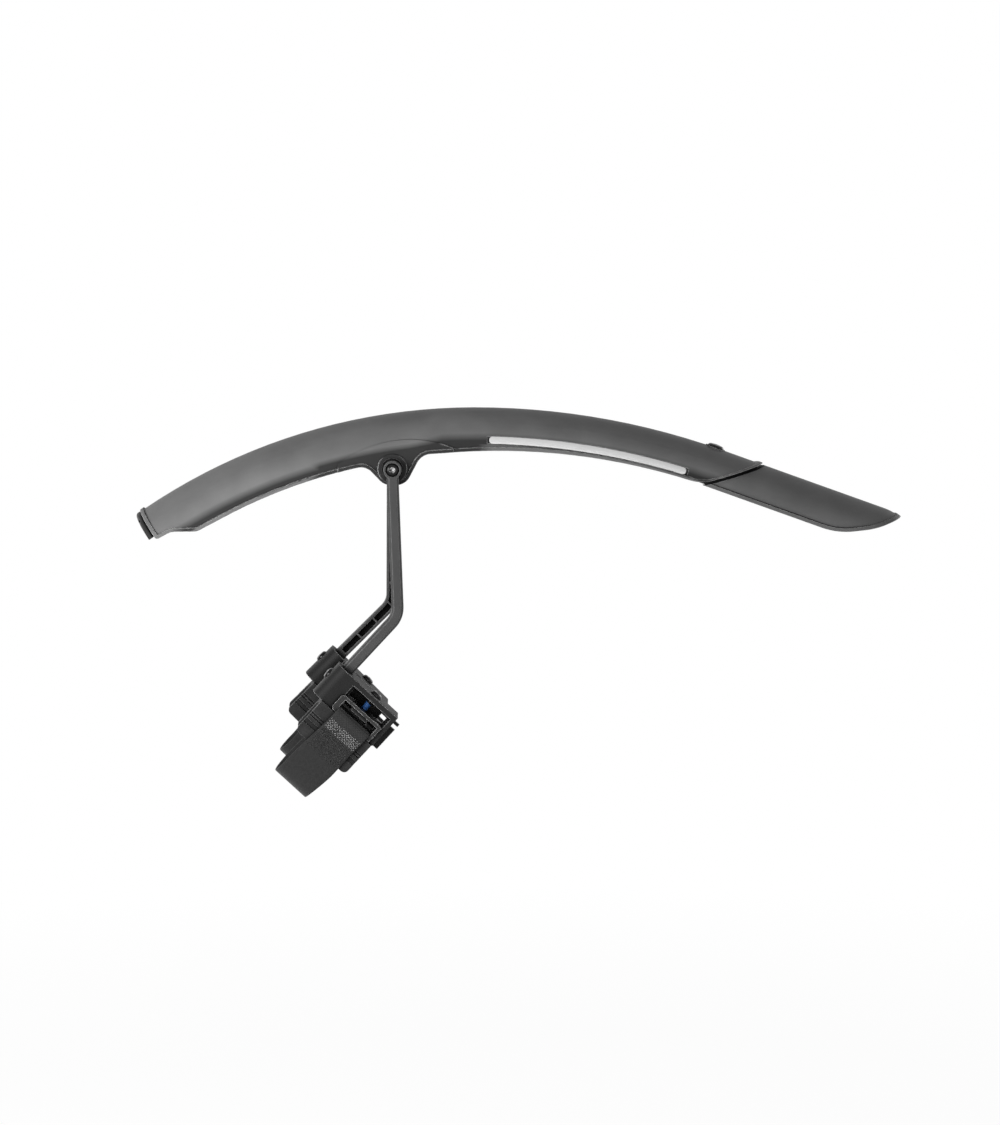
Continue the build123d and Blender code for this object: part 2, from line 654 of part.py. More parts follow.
# Clamp body: socket for the stay and an open frame for the strap carrier
half_deep = BODY_DEEP / 2
clamp_body = clamp_box(0, BODY_LONG, -half_deep, half_deep, 0, BODY_HIGH)
socket_edges = clamp_body.edges().filter_by(Axis.Z).group_by(Axis.X)[0]
clamp_body = fillet(socket_edges, BODY_ROUND)
frame_edges = clamp_body.edges().filter_by(Axis.Z).group_by(Axis.X)[-1]
clamp_body = fillet(frame_edges, 1.0)
window = clamp_box(WINDOW_V, BODY_LONG - END_BAR, -CUT, CUT, TOP_BAR, BODY_HIGH + 5)
clamp_body -= window
window_side = clamp_body.faces().filter_by(Axis.X).sort_by_distance(
    (BODY_V + WINDOW_V, STAY_MID, -BODY_U - TOP_BAR - BODY_HIGH / 2))[0]
clamp_body = chamfer(window_side.edges().filter_by(Axis.Z), WINDOW_BEVEL)
hole_v = STAY_WIDTH / 2 + FIT_CLEAR
hole_y = STAY_THICK / 2 + FIT_CLEAR
clamp_body -= clamp_box(SOCKET_V - hole_v, SOCKET_V + hole_v, -hole_y, hole_y, -5, SOCKET_DEPTH)
clamp_body -= rod_v(M4_RADIUS + SCREW_CLEAR, SOCKET_SCREW_U, -2, SOCKET_SCREW_LENGTH + 2)
clamp_body -= rod_v(M4_HEAD_RADIUS + 0.4, SOCKET_SCREW_U, -2, 0.6)
clamp_body -= rod_u(M4_RADIUS + SCREW_CLEAR, STRAP_CENTRE_V, -2, TOP_BAR + 1)
# A thin wall closes the inner side of the frame, and its end stands out as a hooked ear
back_in = -STRAP_OUT - SLIDE_CLEAR
back_out = back_in - BACK_WALL
room_v0 = STRAP_CENTRE_V - STRAP_WIDTH / 2 - CARRIER_TAB - 3 * SLIDE_CLEAR
room_v1 = BODY_LONG - END_BAR
back = clamp_box(BACK_START, BODY_LONG, back_out, -half_deep, 0, BACK_LOW)
back -= clamp_box(room_v0, room_v1, back_in, -half_deep, TOP_BAR, CUT)
back -= clamp_box(room_v1 - BACK_HOLE_LONG, room_v1, back_out - 1, back_in + 1, TOP_BAR, BACK_HOLE_LOW)
ear = clamp_box(BODY_LONG - 1, BODY_LONG + EAR_LONG, back_out, back_in, EAR_TOP, EAR_BOTTOM)
notch_top = EAR_TOP + EAR_HOOK
ear -= clamp_box(BODY_LONG + EAR_NECK, BODY_LONG + EAR_LONG + 1, back_out - 1, back_in + 1,
                 notch_top, notch_top + EAR_NOTCH)
clamp_body_right = CLAMP * (clamp_body + back + ear)

socket_seat = Pos(BODY_V + 0.6, STAY_MID, -BODY_U - SOCKET_SCREW_U) * Rot(0, -90, 0)
socket_screw_right = CLAMP * (socket_seat * button_screw(SOCKET_SCREW_LENGTH))
tension_seat = Pos(BODY_V + STRAP_CENTRE_V, STAY_MID, -BODY_U)
tension_screw_right = CLAMP * (tension_seat * button_screw(TENSION_SCREW_LENGTH))

# Strap carrier: one slotted bar each side, tied by a block that holds the square nut
slot_v0 = STRAP_CENTRE_V - STRAP_WIDTH / 2 - SLIDE_CLEAR
slot_v1 = STRAP_CENTRE_V + STRAP_WIDTH / 2 + SLIDE_CLEAR
ring_v0 = WINDOW_V + SLIDE_CLEAR
ring_v1 = slot_v1 + CARRIER_END
low_bar_top = CARRIER_BOTTOM - CARRIER_LOW_BAR


def carrier_side(sign):
    """Slotted bar on one side, sign tells which."""
    def box(v0, v1, y0, y1, u0, u1):
        return clamp_box(v0, v1, min(sign * y0, sign * y1), max(sign * y0, sign * y1), u0, u1)
    bar = box(ring_v0, ring_v1, CARRIER_INNER, CARRIER_OUT, CARRIER_TOP, CARRIER_BOTTOM)
    tab = box(slot_v0 - CARRIER_TAB, slot_v0 + 1, half_deep + SLIDE_CLEAR, CARRIER_OUT,
              CARRIER_TOP, CARRIER_BOTTOM)
    tab_edges = tab.edges().filter_by(Axis.Y).group_by(Axis.X)[0]
    bar += fillet(tab_edges, 2.5)
    bar -= box(slot_v0, slot_v1, 0, 30, CARRIER_TOP + CARRIER_BAR, low_bar_top)
    return bar


block_v0 = STRAP_CENTRE_V - CARRIER_BLOCK_LONG / 2
block_v1 = STRAP_CENTRE_V + CARRIER_BLOCK_LONG / 2
block_low = CARRIER_TOP + CARRIER_BLOCK_HIGH
nut_half = M4_SQUARE_NUT / 2
pocket_top = block_low - M4_SQUARE_HEIGHT - 0.2
carrier = carrier_side(1) + carrier_side(-1)
carrier += clamp_box(block_v0, block_v1, -CARRIER_INNER - 1, CARRIER_INNER + 1, CARRIER_TOP, block_low)
carrier -= rod_u(M4_RADIUS + SLIDE_CLEAR, STRAP_CENTRE_V, CARRIER_TOP - 2, block_low + 2)
nut_room = nut_half + FIT_CLEAR
carrier -= clamp_box(STRAP_CENTRE_V - nut_room, STRAP_CENTRE_V + nut_room, -nut_room, nut_room,
                     pocket_top, block_low + 1)
strap_carrier_right = CLAMP * carrier
tension_nut = clamp_box(STRAP_CENTRE_V - nut_half, STRAP_CENTRE_V + nut_half, -nut_half, nut_half,
                        pocket_top, pocket_top + M4_SQUARE_HEIGHT)
tension_nut -= rod_u(M4_RADIUS + RUNNING, STRAP_CENTRE_V, 0, 30)
tension_nut_right = CLAMP * tension_nut

# Strap: a band round the saddle, hooked over the low bar of the carrier at both ends
fold_top = low_bar_top - STRAP_LAY - STRAP_THICK
tail_in = CARRIER_INNER - STRAP_LAY - STRAP_THICK
end_plane = Plane((BODY_V, STAY_MID, -BODY_U), x_dir=(0, 1, 0), z_dir=(1, 0, 0))


def strap_face(half, top, loop_centre):
    """Closed outline of the band: flat top with rounded corners and a round end."""
    r = STRAP_THICK + 0.3 if half > STRAP_IN else 0.3
    c = r * (1 - sqrt(0.5))
    wire = Wire([
        Edge.make_line((half - r, -top), (-half + r, -top)),
        Edge.make_three_point_arc((-half + r, -top), (-half + c, -top - c), (-half, -top - r)),
        Edge.make_line((-half, -top - r), (-half, -loop_centre)),
        Edge.make_three_point_arc((-half, -loop_centre), (0, -loop_centre - half), (half, -loop_centre)),
        Edge.make_line((half, -loop_centre), (half, -top - r)),
        Edge.make_three_point_arc((half, -top - r), (half - c, -top - c), (half - r, -top)),
    ])
    return Face(wire)


def strap_band(end_u):
    """Strap whose round end reaches end_u."""
    loop_centre = end_u - STRAP_OUT
    band = strap_face(STRAP_OUT, fold_top, loop_centre)
    band -= strap_face(STRAP_IN, fold_top + STRAP_THICK, loop_centre)
    band -= Pos(0, -fold_top) * Rectangle(2 * tail_in, 8)
    for sign in (-1, 1):
        tail_y = sign * (tail_in + STRAP_THICK / 2)
        band += Pos(tail_y, -fold_top - STRAP_TAIL / 2) * Rectangle(STRAP_THICK, STRAP_TAIL)
    strap = extrude(end_plane * band, amount=STRAP_WIDTH, dir=(1, 0, 0))
    return CLAMP * (Pos(STRAP_CENTRE_V - STRAP_WIDTH / 2, 0, 0) * strap)


# Rubber saddle: round bed for the seat stay between two grooved flanks
pad = clamp_box(PAD_V, PAD_V + PAD_LONG, -PAD_OUT, PAD_OUT, BODY_HIGH, PAD_END_U)
pad_edges = pad.edges().filter_by(Axis.Y).group_by(Axis.Z)[0]
pad = fillet(pad_edges, PAD_ROUND)
pad -= rod_v(TUBE_RADIUS, TUBE_U, PAD_V - 5, PAD_V + PAD_LONG + 5)
pad -= clamp_box(PAD_V - 5, PAD_V + PAD_LONG + 5, -TUBE_RADIUS, TUBE_RADIUS, TUBE_U, PAD_END_U + 5)
for u0, u1 in ((31.6, 32.4), (33.4, 34.2), (36.6, 39.6)):
    for sign in (-1, 1):
        y0 = sign * (PAD_OUT - GROOVE_DEEP)
        y1 = sign * (PAD_OUT + 1)
        pad -= clamp_box(PAD_V - 5, PAD_V + PAD_LONG + 5, min(y0, y1), max(y0, y1), u0, u1)
saddle_pad_right = CLAMP * pad

pieces = {
    "blade": blade,
    "front_bumper": front_bumper,
    "tail_flap": tail_flap,
    "flap_knob": flap_knob,
    "flap_nut": flap_nut,
}
sided = {
    "reflective_strip": strip_right,
    "pivot_screw": pivot_screw_right,
    "pivot_washer": pivot_washer_right,
    "pivot_nut": pivot_nut_right,
    "stay": stay_right,
    "clamp_body": clamp_body_right,
    "socket_screw": socket_screw_right,
    "tension_screw": tension_screw_right,
    "tension_nut": tension_nut_right,
    "strap_carrier": strap_carrier_right,
    "strap": strap_band(RIGHT_STRAP_END_U),
    "saddle_pad": saddle_pad_right,
}
# The right stay and its clamp stand turned a little further forward than the left ones
fixed = ("reflective_strip", "pivot_screw", "pivot_washer", "pivot_nut")
for name, shape in sided.items():
    turn = 0 if name in fixed else RIGHT_STAY_TURN
    pieces[name + "_right"] = shape.rotate(Axis.Y, turn)
    pieces[name + "_left"] = mirror(shape, Plane.XZ)
# The left strap is pulled less far through, so its loop hangs lower
pieces["strap_left"] = mirror(strap_band(LEFT_STRAP_END_U), Plane.XZ)

# The frame's origin is the middle of the box round the whole part
boxes = [shape.bounding_box() for shape in pieces.values()]
middle = [
    (min(tuple(box.min)[i] for box in boxes) + max(tuple(box.max)[i] for box in boxes)) / 2
    for i in range(3)
]
home = Pos(-middle[0], -middle[1], -middle[2])
for name, shape in pieces.items():
    export_step(home * shape, "parts/" + name + ".step")
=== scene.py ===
import random
from math import cos, pi, radians, sin, sqrt

import bmesh
import bpy
from mathutils import Matrix, Vector


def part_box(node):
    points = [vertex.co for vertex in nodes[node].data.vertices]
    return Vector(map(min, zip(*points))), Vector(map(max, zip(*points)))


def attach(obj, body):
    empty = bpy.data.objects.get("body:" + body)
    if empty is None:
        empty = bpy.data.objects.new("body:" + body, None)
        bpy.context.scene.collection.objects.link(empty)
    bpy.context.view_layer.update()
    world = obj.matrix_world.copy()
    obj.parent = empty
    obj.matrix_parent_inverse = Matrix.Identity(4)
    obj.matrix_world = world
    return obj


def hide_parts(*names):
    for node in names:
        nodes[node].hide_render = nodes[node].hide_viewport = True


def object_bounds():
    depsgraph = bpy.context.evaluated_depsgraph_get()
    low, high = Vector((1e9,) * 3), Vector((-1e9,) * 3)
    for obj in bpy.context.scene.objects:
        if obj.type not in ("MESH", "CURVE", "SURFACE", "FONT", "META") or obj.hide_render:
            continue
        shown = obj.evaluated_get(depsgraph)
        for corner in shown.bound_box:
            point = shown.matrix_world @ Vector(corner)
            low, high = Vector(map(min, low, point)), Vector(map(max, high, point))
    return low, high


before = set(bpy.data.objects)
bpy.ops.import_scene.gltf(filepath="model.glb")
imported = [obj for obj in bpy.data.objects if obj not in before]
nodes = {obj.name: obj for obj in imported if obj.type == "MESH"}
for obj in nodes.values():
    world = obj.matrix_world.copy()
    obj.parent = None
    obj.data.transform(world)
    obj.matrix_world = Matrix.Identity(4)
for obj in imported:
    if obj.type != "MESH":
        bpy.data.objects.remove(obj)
cad_low, cad_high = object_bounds()

# Lengths below are in millimetres from the stay pivot axis, as in the part's source.
# place() turns them into metres in the shared frame.
MM = 0.001
SIDES = ("left", "right")
screw_low, screw_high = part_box("pivot_screw_left")
stay_low, stay_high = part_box("stay_left")
PIVOT_X = (screw_low[0] + screw_high[0]) / 2
PIVOT_Z = (screw_low[2] + screw_high[2]) / 2

# Camera: the photograph's view, a long lens from 4 m away, a little from above
PIXEL_MM = 0.61
CAMERA_MM = 4000.0
AZIMUTH = -0.7
ELEVATION = 6.8
AIM = (65.43, 0.0, -60.51)
IMAGE_WIDTH = 1000
SENSOR_WIDTH = 36.0
FAR_CLIP = 100.0

# Clamp axes: u runs down the lower leg, v along the seat stay, y out from the stay's middle
LEG_ANGLE = 42.8
BODY_U = 108.3
BODY_V = 56.0
STAY_MID = -(stay_low[1] + stay_high[1]) / 2 / MM
RIGHT_STAY_TURN = 2.4
SOCKET_SCREW_U = 9.0
SOCKET_SEAT = 0.6

# M4 screws with button heads
THREAD_PITCH = 0.7
THREAD_DEPTH = 0.36
M4_RADIUS = 1.99
M4_HEAD_RADIUS = 3.8
M4_HEAD_HEIGHT = 2.3
M4_KEY_FLATS = 2.5
PIVOT_SEAT = STAY_MID + 2.0
PIVOT_LENGTH = 14.5
SOCKET_LENGTH = 12.0
TENSION_LENGTH = 16.5
PATCH = (6.0, 10.4)

# Form of every screw: the hexagon recess, the dome of the head, the start and tip of the thread
RING_POINTS = 36
HEAD_RINGS = 12
THREAD_STEPS = 6
KEY_TURN = 0.2
KEY_FLOOR_SHARE = 0.35
KEY_LEAD_HEIGHT = 0.2
KEY_LEAD_FLATS = 0.35
CROWN_SHARE = 0.52
SKIRT_SHARE = 0.2
DOME_ANGLES = (0.0, 0.3, 0.6, 0.9, 1.2, pi / 2)
SEAT_EASE = 0.12
SHANK_FILLET = 0.15
PLAIN_SHANK = 1.0
TIP_LENGTH = 0.5
TIP_SHARE = 0.72

# Knob on the straight tail of the crown
TAIL_X = 201.355
TAIL_Z = 8.015
TAIL_ANGLE = 19.8
KNOB_AT = -5.0
KNOB_SEAT = 0.3
KNOB_RADIUS = 5.0
KNOB_HEIGHT = 1.7
KNOB_KEY_FLATS = 3.0
KNOB_LENGTH = 10.6
M5_RADIUS = 2.49
M5_PITCH = 0.8

# Arcs of the blade's lower edge, which rolls in above its bead
TOP_X = 49.6
TOP_Z = 34.5
FRONT_RADIUS = 357.0
FRONT_EDGE = 330.2
REAR_RADIUS = 448.0
REAR_EDGE = 425.9
ARC_CHANGE_START = 10.0
ARC_CHANGE_END = 30.0

# Shading by height over that edge, with painted shade in the hollow over the bead and on the lug's
# plate: where each share starts and where it is full
BEAD_TOP = (1.5, 2.4)
HOLLOW_FADE = (9.0, 4.5)
HOLLOW_DEPTH = 0.85
PLATE_FADE = (10.0, 6.5)
STEP_LOW = (4.0, 6.0)
STEP_HIGH = (24.0, 17.0)
# Heights between which the painted edge highlight on the lug fades out
PAINTED_HIGHLIGHT_END = (2.6, 4.0)
SLOPE = (5.0, 18.0)
SLOPE_RISE = 0.81
REAR_SHIFT = 3.0

# The pivot's lug along the blade
LUG_MIDDLE = 4.0
LUG_HALF = 56.0
LUG_FADE = 8.0
LUG_LEAN = -0.15

# Straps
STRAP_WIDTH = 25.0
STRAP_THICK = 1.3
STRAP_CENTRE_V = 30.2
STRAP_END_U = {"left": 74.6, "right": 68.4}
STRAP_OUT = 13.05
STRAP_TAIL_Y = 6.2
STRAP_TAIL = 3.8
STRAP_TOP_U = 19.2
STRAP_CORNER = 0.95
STRAP_LEAN = {"left": -2.0, "right": 4.6}
STRAP_SWELL = {"left": 1.5, "right": 0.0}
STRAP_SEED = {"left": 7, "right": 8}

# The strap's end, folded over on its outer face
FLAP_THICK = 0.8
FLAP_INSET = 0.6
FLAP_GAP = 0.05
FLAP_START = 0.3
FLAP_END_U = 33.4
FLAP_TUCK = 0.75
FLAP_TUCK_REACH = 2.2
FLAP_LIFT = 0.35
FLAP_LIFT_REACH = 4.0

# Hooks on that end and loop fibres beyond it
HOOKS_START_U = 26.6
HOOKS_END_GAP = 0.6
HOOKS_WIDTH = STRAP_WIDTH - 2.2
HOOKS_LIMIT = STRAP_WIDTH - 2.0
HOOK_PITCH = 0.95
HOOK_MISSING = 0.06
HOOK_GAP = 0.02
HOOK_SPINE = ((0.0, 0.0), (0.0, 0.35), (0.08, 0.62), (0.3, 0.74), (0.5, 0.6))
HOOK_SIZE = 0.21
FUZZ_START = 0.3
FUZZ_END_U = 48.0
FUZZ_MARGIN = 0.8
FUZZ_COUNT = 900
FUZZ_THINNING = 1.3
FIBRE_LONG = (0.8, 2.2)
FIBRE_HIGH = (0.25, 0.7)
FIBRE_SIZE = 0.07
FIBRE_SINK = 0.03

# Floor and light, in metres
FLOOR_DROP = 0.22
FLOOR_REACH = 40.0
FLOOR_TONE = 0.88
FLOOR_WHITE_FROM = 0.5
FLOOR_WHITE_TO = 1.0
FLOOR_WHITE_SHARE = 0.95
WORLD_LIGHT = 0.05


def place(x, y, z):
    return Vector((PIVOT_X + x * MM, y * MM, PIVOT_Z + z * MM))


def clamp_place(side, u, v, y):
    """Point in clamp axes of one side, in metres in the shared frame."""
    s = sin(radians(LEG_ANGLE))
    c = cos(radians(LEG_ANGLE))
    x = -s * (BODY_U + u) + c * (BODY_V + v)
    z = -c * (BODY_U + u) - s * (BODY_V + v)
    if side == "left":
        return place(x, -STAY_MID - y, z)
    t = radians(RIGHT_STAY_TURN)
    return place(x * cos(t) + z * sin(t), STAY_MID + y, z * cos(t) - x * sin(t))


def direction(azimuth, elevation):
    """Unit vector from the part, azimuth 0 towards the camera's side, both in degrees."""
    a = radians(azimuth)
    e = radians(elevation)
    return Vector((sin(a) * cos(e), -cos(a) * cos(e), sin(e)))


# Camera and background
back = direction(AZIMUTH, ELEVATION)
camera_data = bpy.data.cameras.new("camera")
camera = bpy.data.objects.new("camera", camera_data)
bpy.context.collection.objects.link(camera)
camera.location = place(*AIM) + back * (CAMERA_MM * MM)
camera.rotation_euler = back.to_track_quat("Z", "Y").to_euler()
camera_data.sensor_fit = "HORIZONTAL"
camera_data.sensor_width = SENSOR_WIDTH
camera_data.lens = SENSOR_WIDTH * (CAMERA_MM / PIXEL_MM) / IMAGE_WIDTH
camera_data.clip_end = FAR_CLIP
bpy.context.scene.camera = camera
bpy.context.scene.view_settings.view_transform = "Standard"


# Materials
def grey(value):
    return (value, value, value)


def tint(tone, factor):
    return tuple(v * factor for v in tone)


def add_node(tree, kind, **values):
    """New shader node. Each value goes to the socket of that name, or else to the node itself."""
    made = tree.nodes.new(kind)
    for key, value in values.items():
        socket = made.inputs.get(key.replace("_", " "))
        if socket is not None:
            socket.default_value = value
        else:
            setattr(made, key, value)
    return made


class Shader:
    """A procedural material and short names for the nodes that it is built from.

    Noise scales are in cells per metre. A share is a value from 0 to 1.
    """

    def __init__(self, name, color, roughness, specular=0.5, metallic=0.0):
        self.material = bpy.data.materials.new(name)
        self.material.use_nodes = True
        self.tree = self.material.node_tree
        self.bsdf = self.tree.nodes["Principled BSDF"]
        self.bsdf.inputs["Base Color"].default_value = (*color, 1)
        self.bsdf.inputs["Roughness"].default_value = roughness
        self.bsdf.inputs["Specular IOR Level"].default_value = specular
        self.bsdf.inputs["Metallic"].default_value = metallic
        self.normal = None

    def node(self, kind, **values):
        return add_node(self.tree, kind, **values)

    def link(self, source, target):
        self.tree.links.new(source, target)

    def coords(self, kind="Object", stretch=(1, 1, 1)):
        source = self.node("ShaderNodeTexCoord")
        mapping = self.node("ShaderNodeMapping", Scale=stretch)
        self.link(source.outputs[kind], mapping.inputs["Vector"])
        return mapping.outputs["Vector"]

    def parts(self, vector):
        made = self.node("ShaderNodeSeparateXYZ")
        self.link(vector, made.inputs[0])
        return made.outputs

    def unit(self, vector):
        made = self.node("ShaderNodeVectorMath", operation="NORMALIZE")
        self.link(vector, made.inputs[0])
        return made.outputs[0]

    def noise(self, scale, detail=4.0, where=None):
        made = self.node("ShaderNodeTexNoise", Scale=scale, Detail=detail)
        self.link(where or self.coords(), made.inputs["Vector"])
        return made.outputs["Fac"]

    def ramp(self, value, low, high, to_low=0.0, to_high=1.0, clamp=True):
        made = self.node("ShaderNodeMapRange", From_Min=low, From_Max=high,
                         To_Min=to_low, To_Max=to_high, clamp=clamp)
        self.link(value, made.inputs["Value"])
        return made.outputs["Result"]

    def mix(self, factor, low, high):
        """Colour between two colours, either of which may be another node's output."""
        made = self.node("ShaderNodeMix", data_type="RGBA")
        self.link(factor, made.inputs["Factor"])
        for socket, color in ((made.inputs[6], low), (made.inputs[7], high)):
            if isinstance(color, tuple):
                socket.default_value = (*color, 1)
            else:
                self.link(color, socket)
        return made.outputs[2]

    def math(self, operation, a, b=0.0):
        made = self.node("ShaderNodeMath", operation=operation)
        for socket, value in zip(made.inputs, (a, b)):
            if isinstance(value, (int, float)):
                socket.default_value = value
            else:
                self.link(value, socket)
        return made.outputs[0]

    def product(self, a, b):
        return self.math("MULTIPLY", a, b)

    def inverse(self, share):
        return self.math("SUBTRACT", 1.0, share)

    def paint(self, color):
        self.link(color, self.bsdf.inputs["Base Color"])

    def gloss(self, pattern, low, high, spread=(0.3, 0.7)):
        """Roughness that wanders between two values with a pattern."""
        self.link(self.ramp(pattern, *spread, low, high), self.bsdf.inputs["Roughness"])

    def face(self, normal):
        """Shades the surface as if it faced along a normal."""
        self.normal = normal
        self.link(normal, self.bsdf.inputs["Normal"])

    def bump(self, height, depth_mm, strength=1.0):
        """Raises the surface, on top of what was raised before."""
        made = self.node("ShaderNodeBump", Strength=strength, Distance=depth_mm * MM)
        self.link(height, made.inputs["Height"])
        if self.normal is not None:
            self.link(self.normal, made.inputs["Normal"])
        self.face(made.outputs["Normal"])

    def edges(self, width_mm):
        """About 1 on sharp convex edges and 0 elsewhere, for painted edge highlights."""
        soft = self.node("ShaderNodeBevel", Radius=width_mm * MM, samples=4)
        flat = self.node("ShaderNodeNewGeometry")
        dot = self.node("ShaderNodeVectorMath", operation="DOT_PRODUCT")
        self.link(soft.outputs["Normal"], dot.inputs[0])
        self.link(flat.outputs["Normal"], dot.inputs[1])
        return self.ramp(dot.outputs["Value"], 0.985, 0.88)

    def rounded(self, radius_mm):
        """Shades the edges as if they were rounded."""
        soft = self.node("ShaderNodeBevel", Radius=radius_mm * MM, samples=6)
        self.face(soft.outputs["Normal"])

    def unshaded_share(self, reach_mm, low, high):
        """0 in corners and pockets, where shade is painted, and 1 on open faces."""
        near = self.node("ShaderNodeAmbientOcclusion", Distance=reach_mm * MM, samples=8)
        return self.ramp(near.outputs["AO"], low, high)

    def above_edge(self):
        """Height in mm over the arc of the blade's lower edge, and the shares of lug and rear arc."""
        at = self.parts(self.coords())
        side = self.node("ShaderNodeCombineXYZ")
        self.link(at["X"], side.inputs["X"])
        self.link(at["Z"], side.inputs["Z"])
        heights = []
        for radius, edge in ((FRONT_RADIUS, FRONT_EDGE), (REAR_RADIUS, REAR_EDGE)):
            reach = self.node("ShaderNodeVectorMath", operation="DISTANCE")
            self.link(side.outputs[0], reach.inputs[0])
            reach.inputs[1].default_value = place(TOP_X, 0, TOP_Z - radius)
            above = self.ramp(reach.outputs["Value"], edge * MM, (edge + 100) * MM,
                              0.0, 100.0, clamp=False)
            heights.append(above)
        rear = self.ramp(at["X"], PIVOT_X + ARC_CHANGE_START * MM, PIVOT_X + ARC_CHANGE_END * MM)
        ahead = self.product(heights[0], self.inverse(rear))
        height = self.math("ADD", ahead, self.product(heights[1], rear))
        beside = self.math("ABSOLUTE", self.math("SUBTRACT", at["X"], PIVOT_X + LUG_MIDDLE * MM))
        lug = self.ramp(beside, LUG_HALF * MM, (LUG_HALF - LUG_FADE) * MM)
        return height, lug, rear

    def one_slope(self, share, rise):
        """Shades the step over the pivot's lug as one slope that leans in by rise."""
        side = self.math("SIGN", self.parts(self.coords())["Y"])
        true_normal = self.node("ShaderNodeNewGeometry").outputs["Normal"]
        outward = self.product(self.parts(true_normal)["Y"], side)
        facing = self.math("SIGN", self.math("ADD", outward, 0.5))
        lean = self.node("ShaderNodeCombineXYZ")
        self.link(self.product(rise, LUG_LEAN), lean.inputs["X"])
        self.link(side, lean.inputs["Y"])
        self.link(rise, lean.inputs["Z"])
        faced = self.node("ShaderNodeVectorMath", operation="SCALE")
        self.link(lean.outputs[0], faced.inputs[0])
        self.link(facing, faced.inputs["Scale"])
        blend = self.node("ShaderNodeMix", data_type="VECTOR")
        self.link(share, blend.inputs["Factor"])
        self.link(self.normal, blend.inputs[4])
        self.link(self.unit(faced.outputs[0]), blend.inputs[5])
        self.face(self.unit(blend.outputs[1]))


def rolled_edge(s, unshaded_share, highlight_share):
    """Paints shade into the hollow over the blade's bead and onto the lug's plate.

    The step along the top of that plate is shaded as one slope, with no painted shade or painted
    highlight.
    Gives the new unshaded share and painted highlight share.
    """
    height, lug, rear = s.above_edge()
    hollow = s.product(s.ramp(height, *HOLLOW_FADE), s.ramp(height, *BEAD_TOP))
    shade_line = s.math("ADD", height, s.product(rear, REAR_SHIFT))
    plate = s.product(s.ramp(shade_line, *PLATE_FADE), lug)
    beside_step = s.product(s.ramp(shade_line, *STEP_LOW), s.ramp(shade_line, *STEP_HIGH))
    step = s.product(beside_step, lug)
    # Painted shade of the hollow and the plate, taken out of the unshaded share.
    hollow_unshaded = s.inverse(s.product(s.math("MAXIMUM", hollow, plate), HOLLOW_DEPTH))
    unshaded_share = s.product(s.math("MAXIMUM", unshaded_share, step), hollow_unshaded)
    apart = s.inverse(s.product(s.ramp(height, *PAINTED_HIGHLIGHT_END), lug))
    s.one_slope(step, s.ramp(shade_line, *SLOPE, 0.0, SLOPE_RISE))
    return unshaded_share, s.product(highlight_share, apart)


def moulded(name, tone, painted_highlight, roughness, specular, grain_mm, grain_depth, round_mm, edge_mm, pocket,
            rolled=False):
    """Moulded plastic: cloudy tone, fine grain, uneven gloss, painted edge highlights and painted
    corner shade.

    pocket is how far a corner's painted shade reaches in mm, and the unshaded share where it starts
    and ends.
    rolled is for the blade, whose lower edge rolls in.
    """
    s = Shader(name, tone, roughness, specular)
    s.rounded(round_mm)
    # Painted shade: corners and pockets found by ambient occlusion get darker colour and less
    # reflection.
    unshaded_share = s.unshaded_share(*pocket)
    # Painted highlight: pale patches along the edges, outside the painted shade.
    patchy_highlight = s.product(s.edges(edge_mm), s.ramp(s.noise(320, 6.0), 0.25, 0.55))
    highlight_share = s.product(patchy_highlight, unshaded_share)
    if rolled:
        unshaded_share, highlight_share = rolled_edge(s, unshaded_share, highlight_share)
    cloud = s.ramp(s.noise(45, 5.0), 0.35, 0.68)
    body = s.mix(cloud, tone, tint(tone, 1.22))
    # Colour: the painted corner shade, then the painted edge highlight over it; reflection drops in
    # the painted shade.
    face = s.mix(unshaded_share, tint(tone, 0.12), body)
    s.paint(s.mix(highlight_share, face, painted_highlight))
    s.link(s.ramp(unshaded_share, 0.0, 1.0, 0.02, specular), s.bsdf.inputs["Specular IOR Level"])
    streak = s.noise(90, 6.0, s.coords(stretch=(0.25, 1, 1)))
    s.gloss(streak, roughness - 0.04, roughness + 0.05, spread=(0.25, 0.75))
    s.bump(s.noise(1 / (grain_mm * MM), 3.0), grain_depth, 0.6)
    return s.material


def rubber(name, tone, roughness):
    """Rubber: matt, with a dusty bloom, a fine uneven skin, painted edge highlights and painted corner
    shade.
    """
    s = Shader(name, tone, roughness, 0.12)
    s.rounded(0.7)
    # Painted shade in corners and pockets, and a painted highlight along the edges.
    unshaded_share = s.unshaded_share(5.0, 0.6, 0.98)
    bloom = s.ramp(s.noise(140, 8.0), 0.42, 0.8)
    face = s.mix(bloom, tone, tint(tone, 1.9))
    edge = s.product(s.edges(0.5), unshaded_share)
    s.paint(s.mix(unshaded_share, grey(0.001), s.mix(edge, face, tint(tone, 9))))
    s.gloss(s.noise(260, 4.0), roughness - 0.08, roughness + 0.06)
    s.bump(s.noise(900, 4.0), 0.05, 0.6)
    return s.material


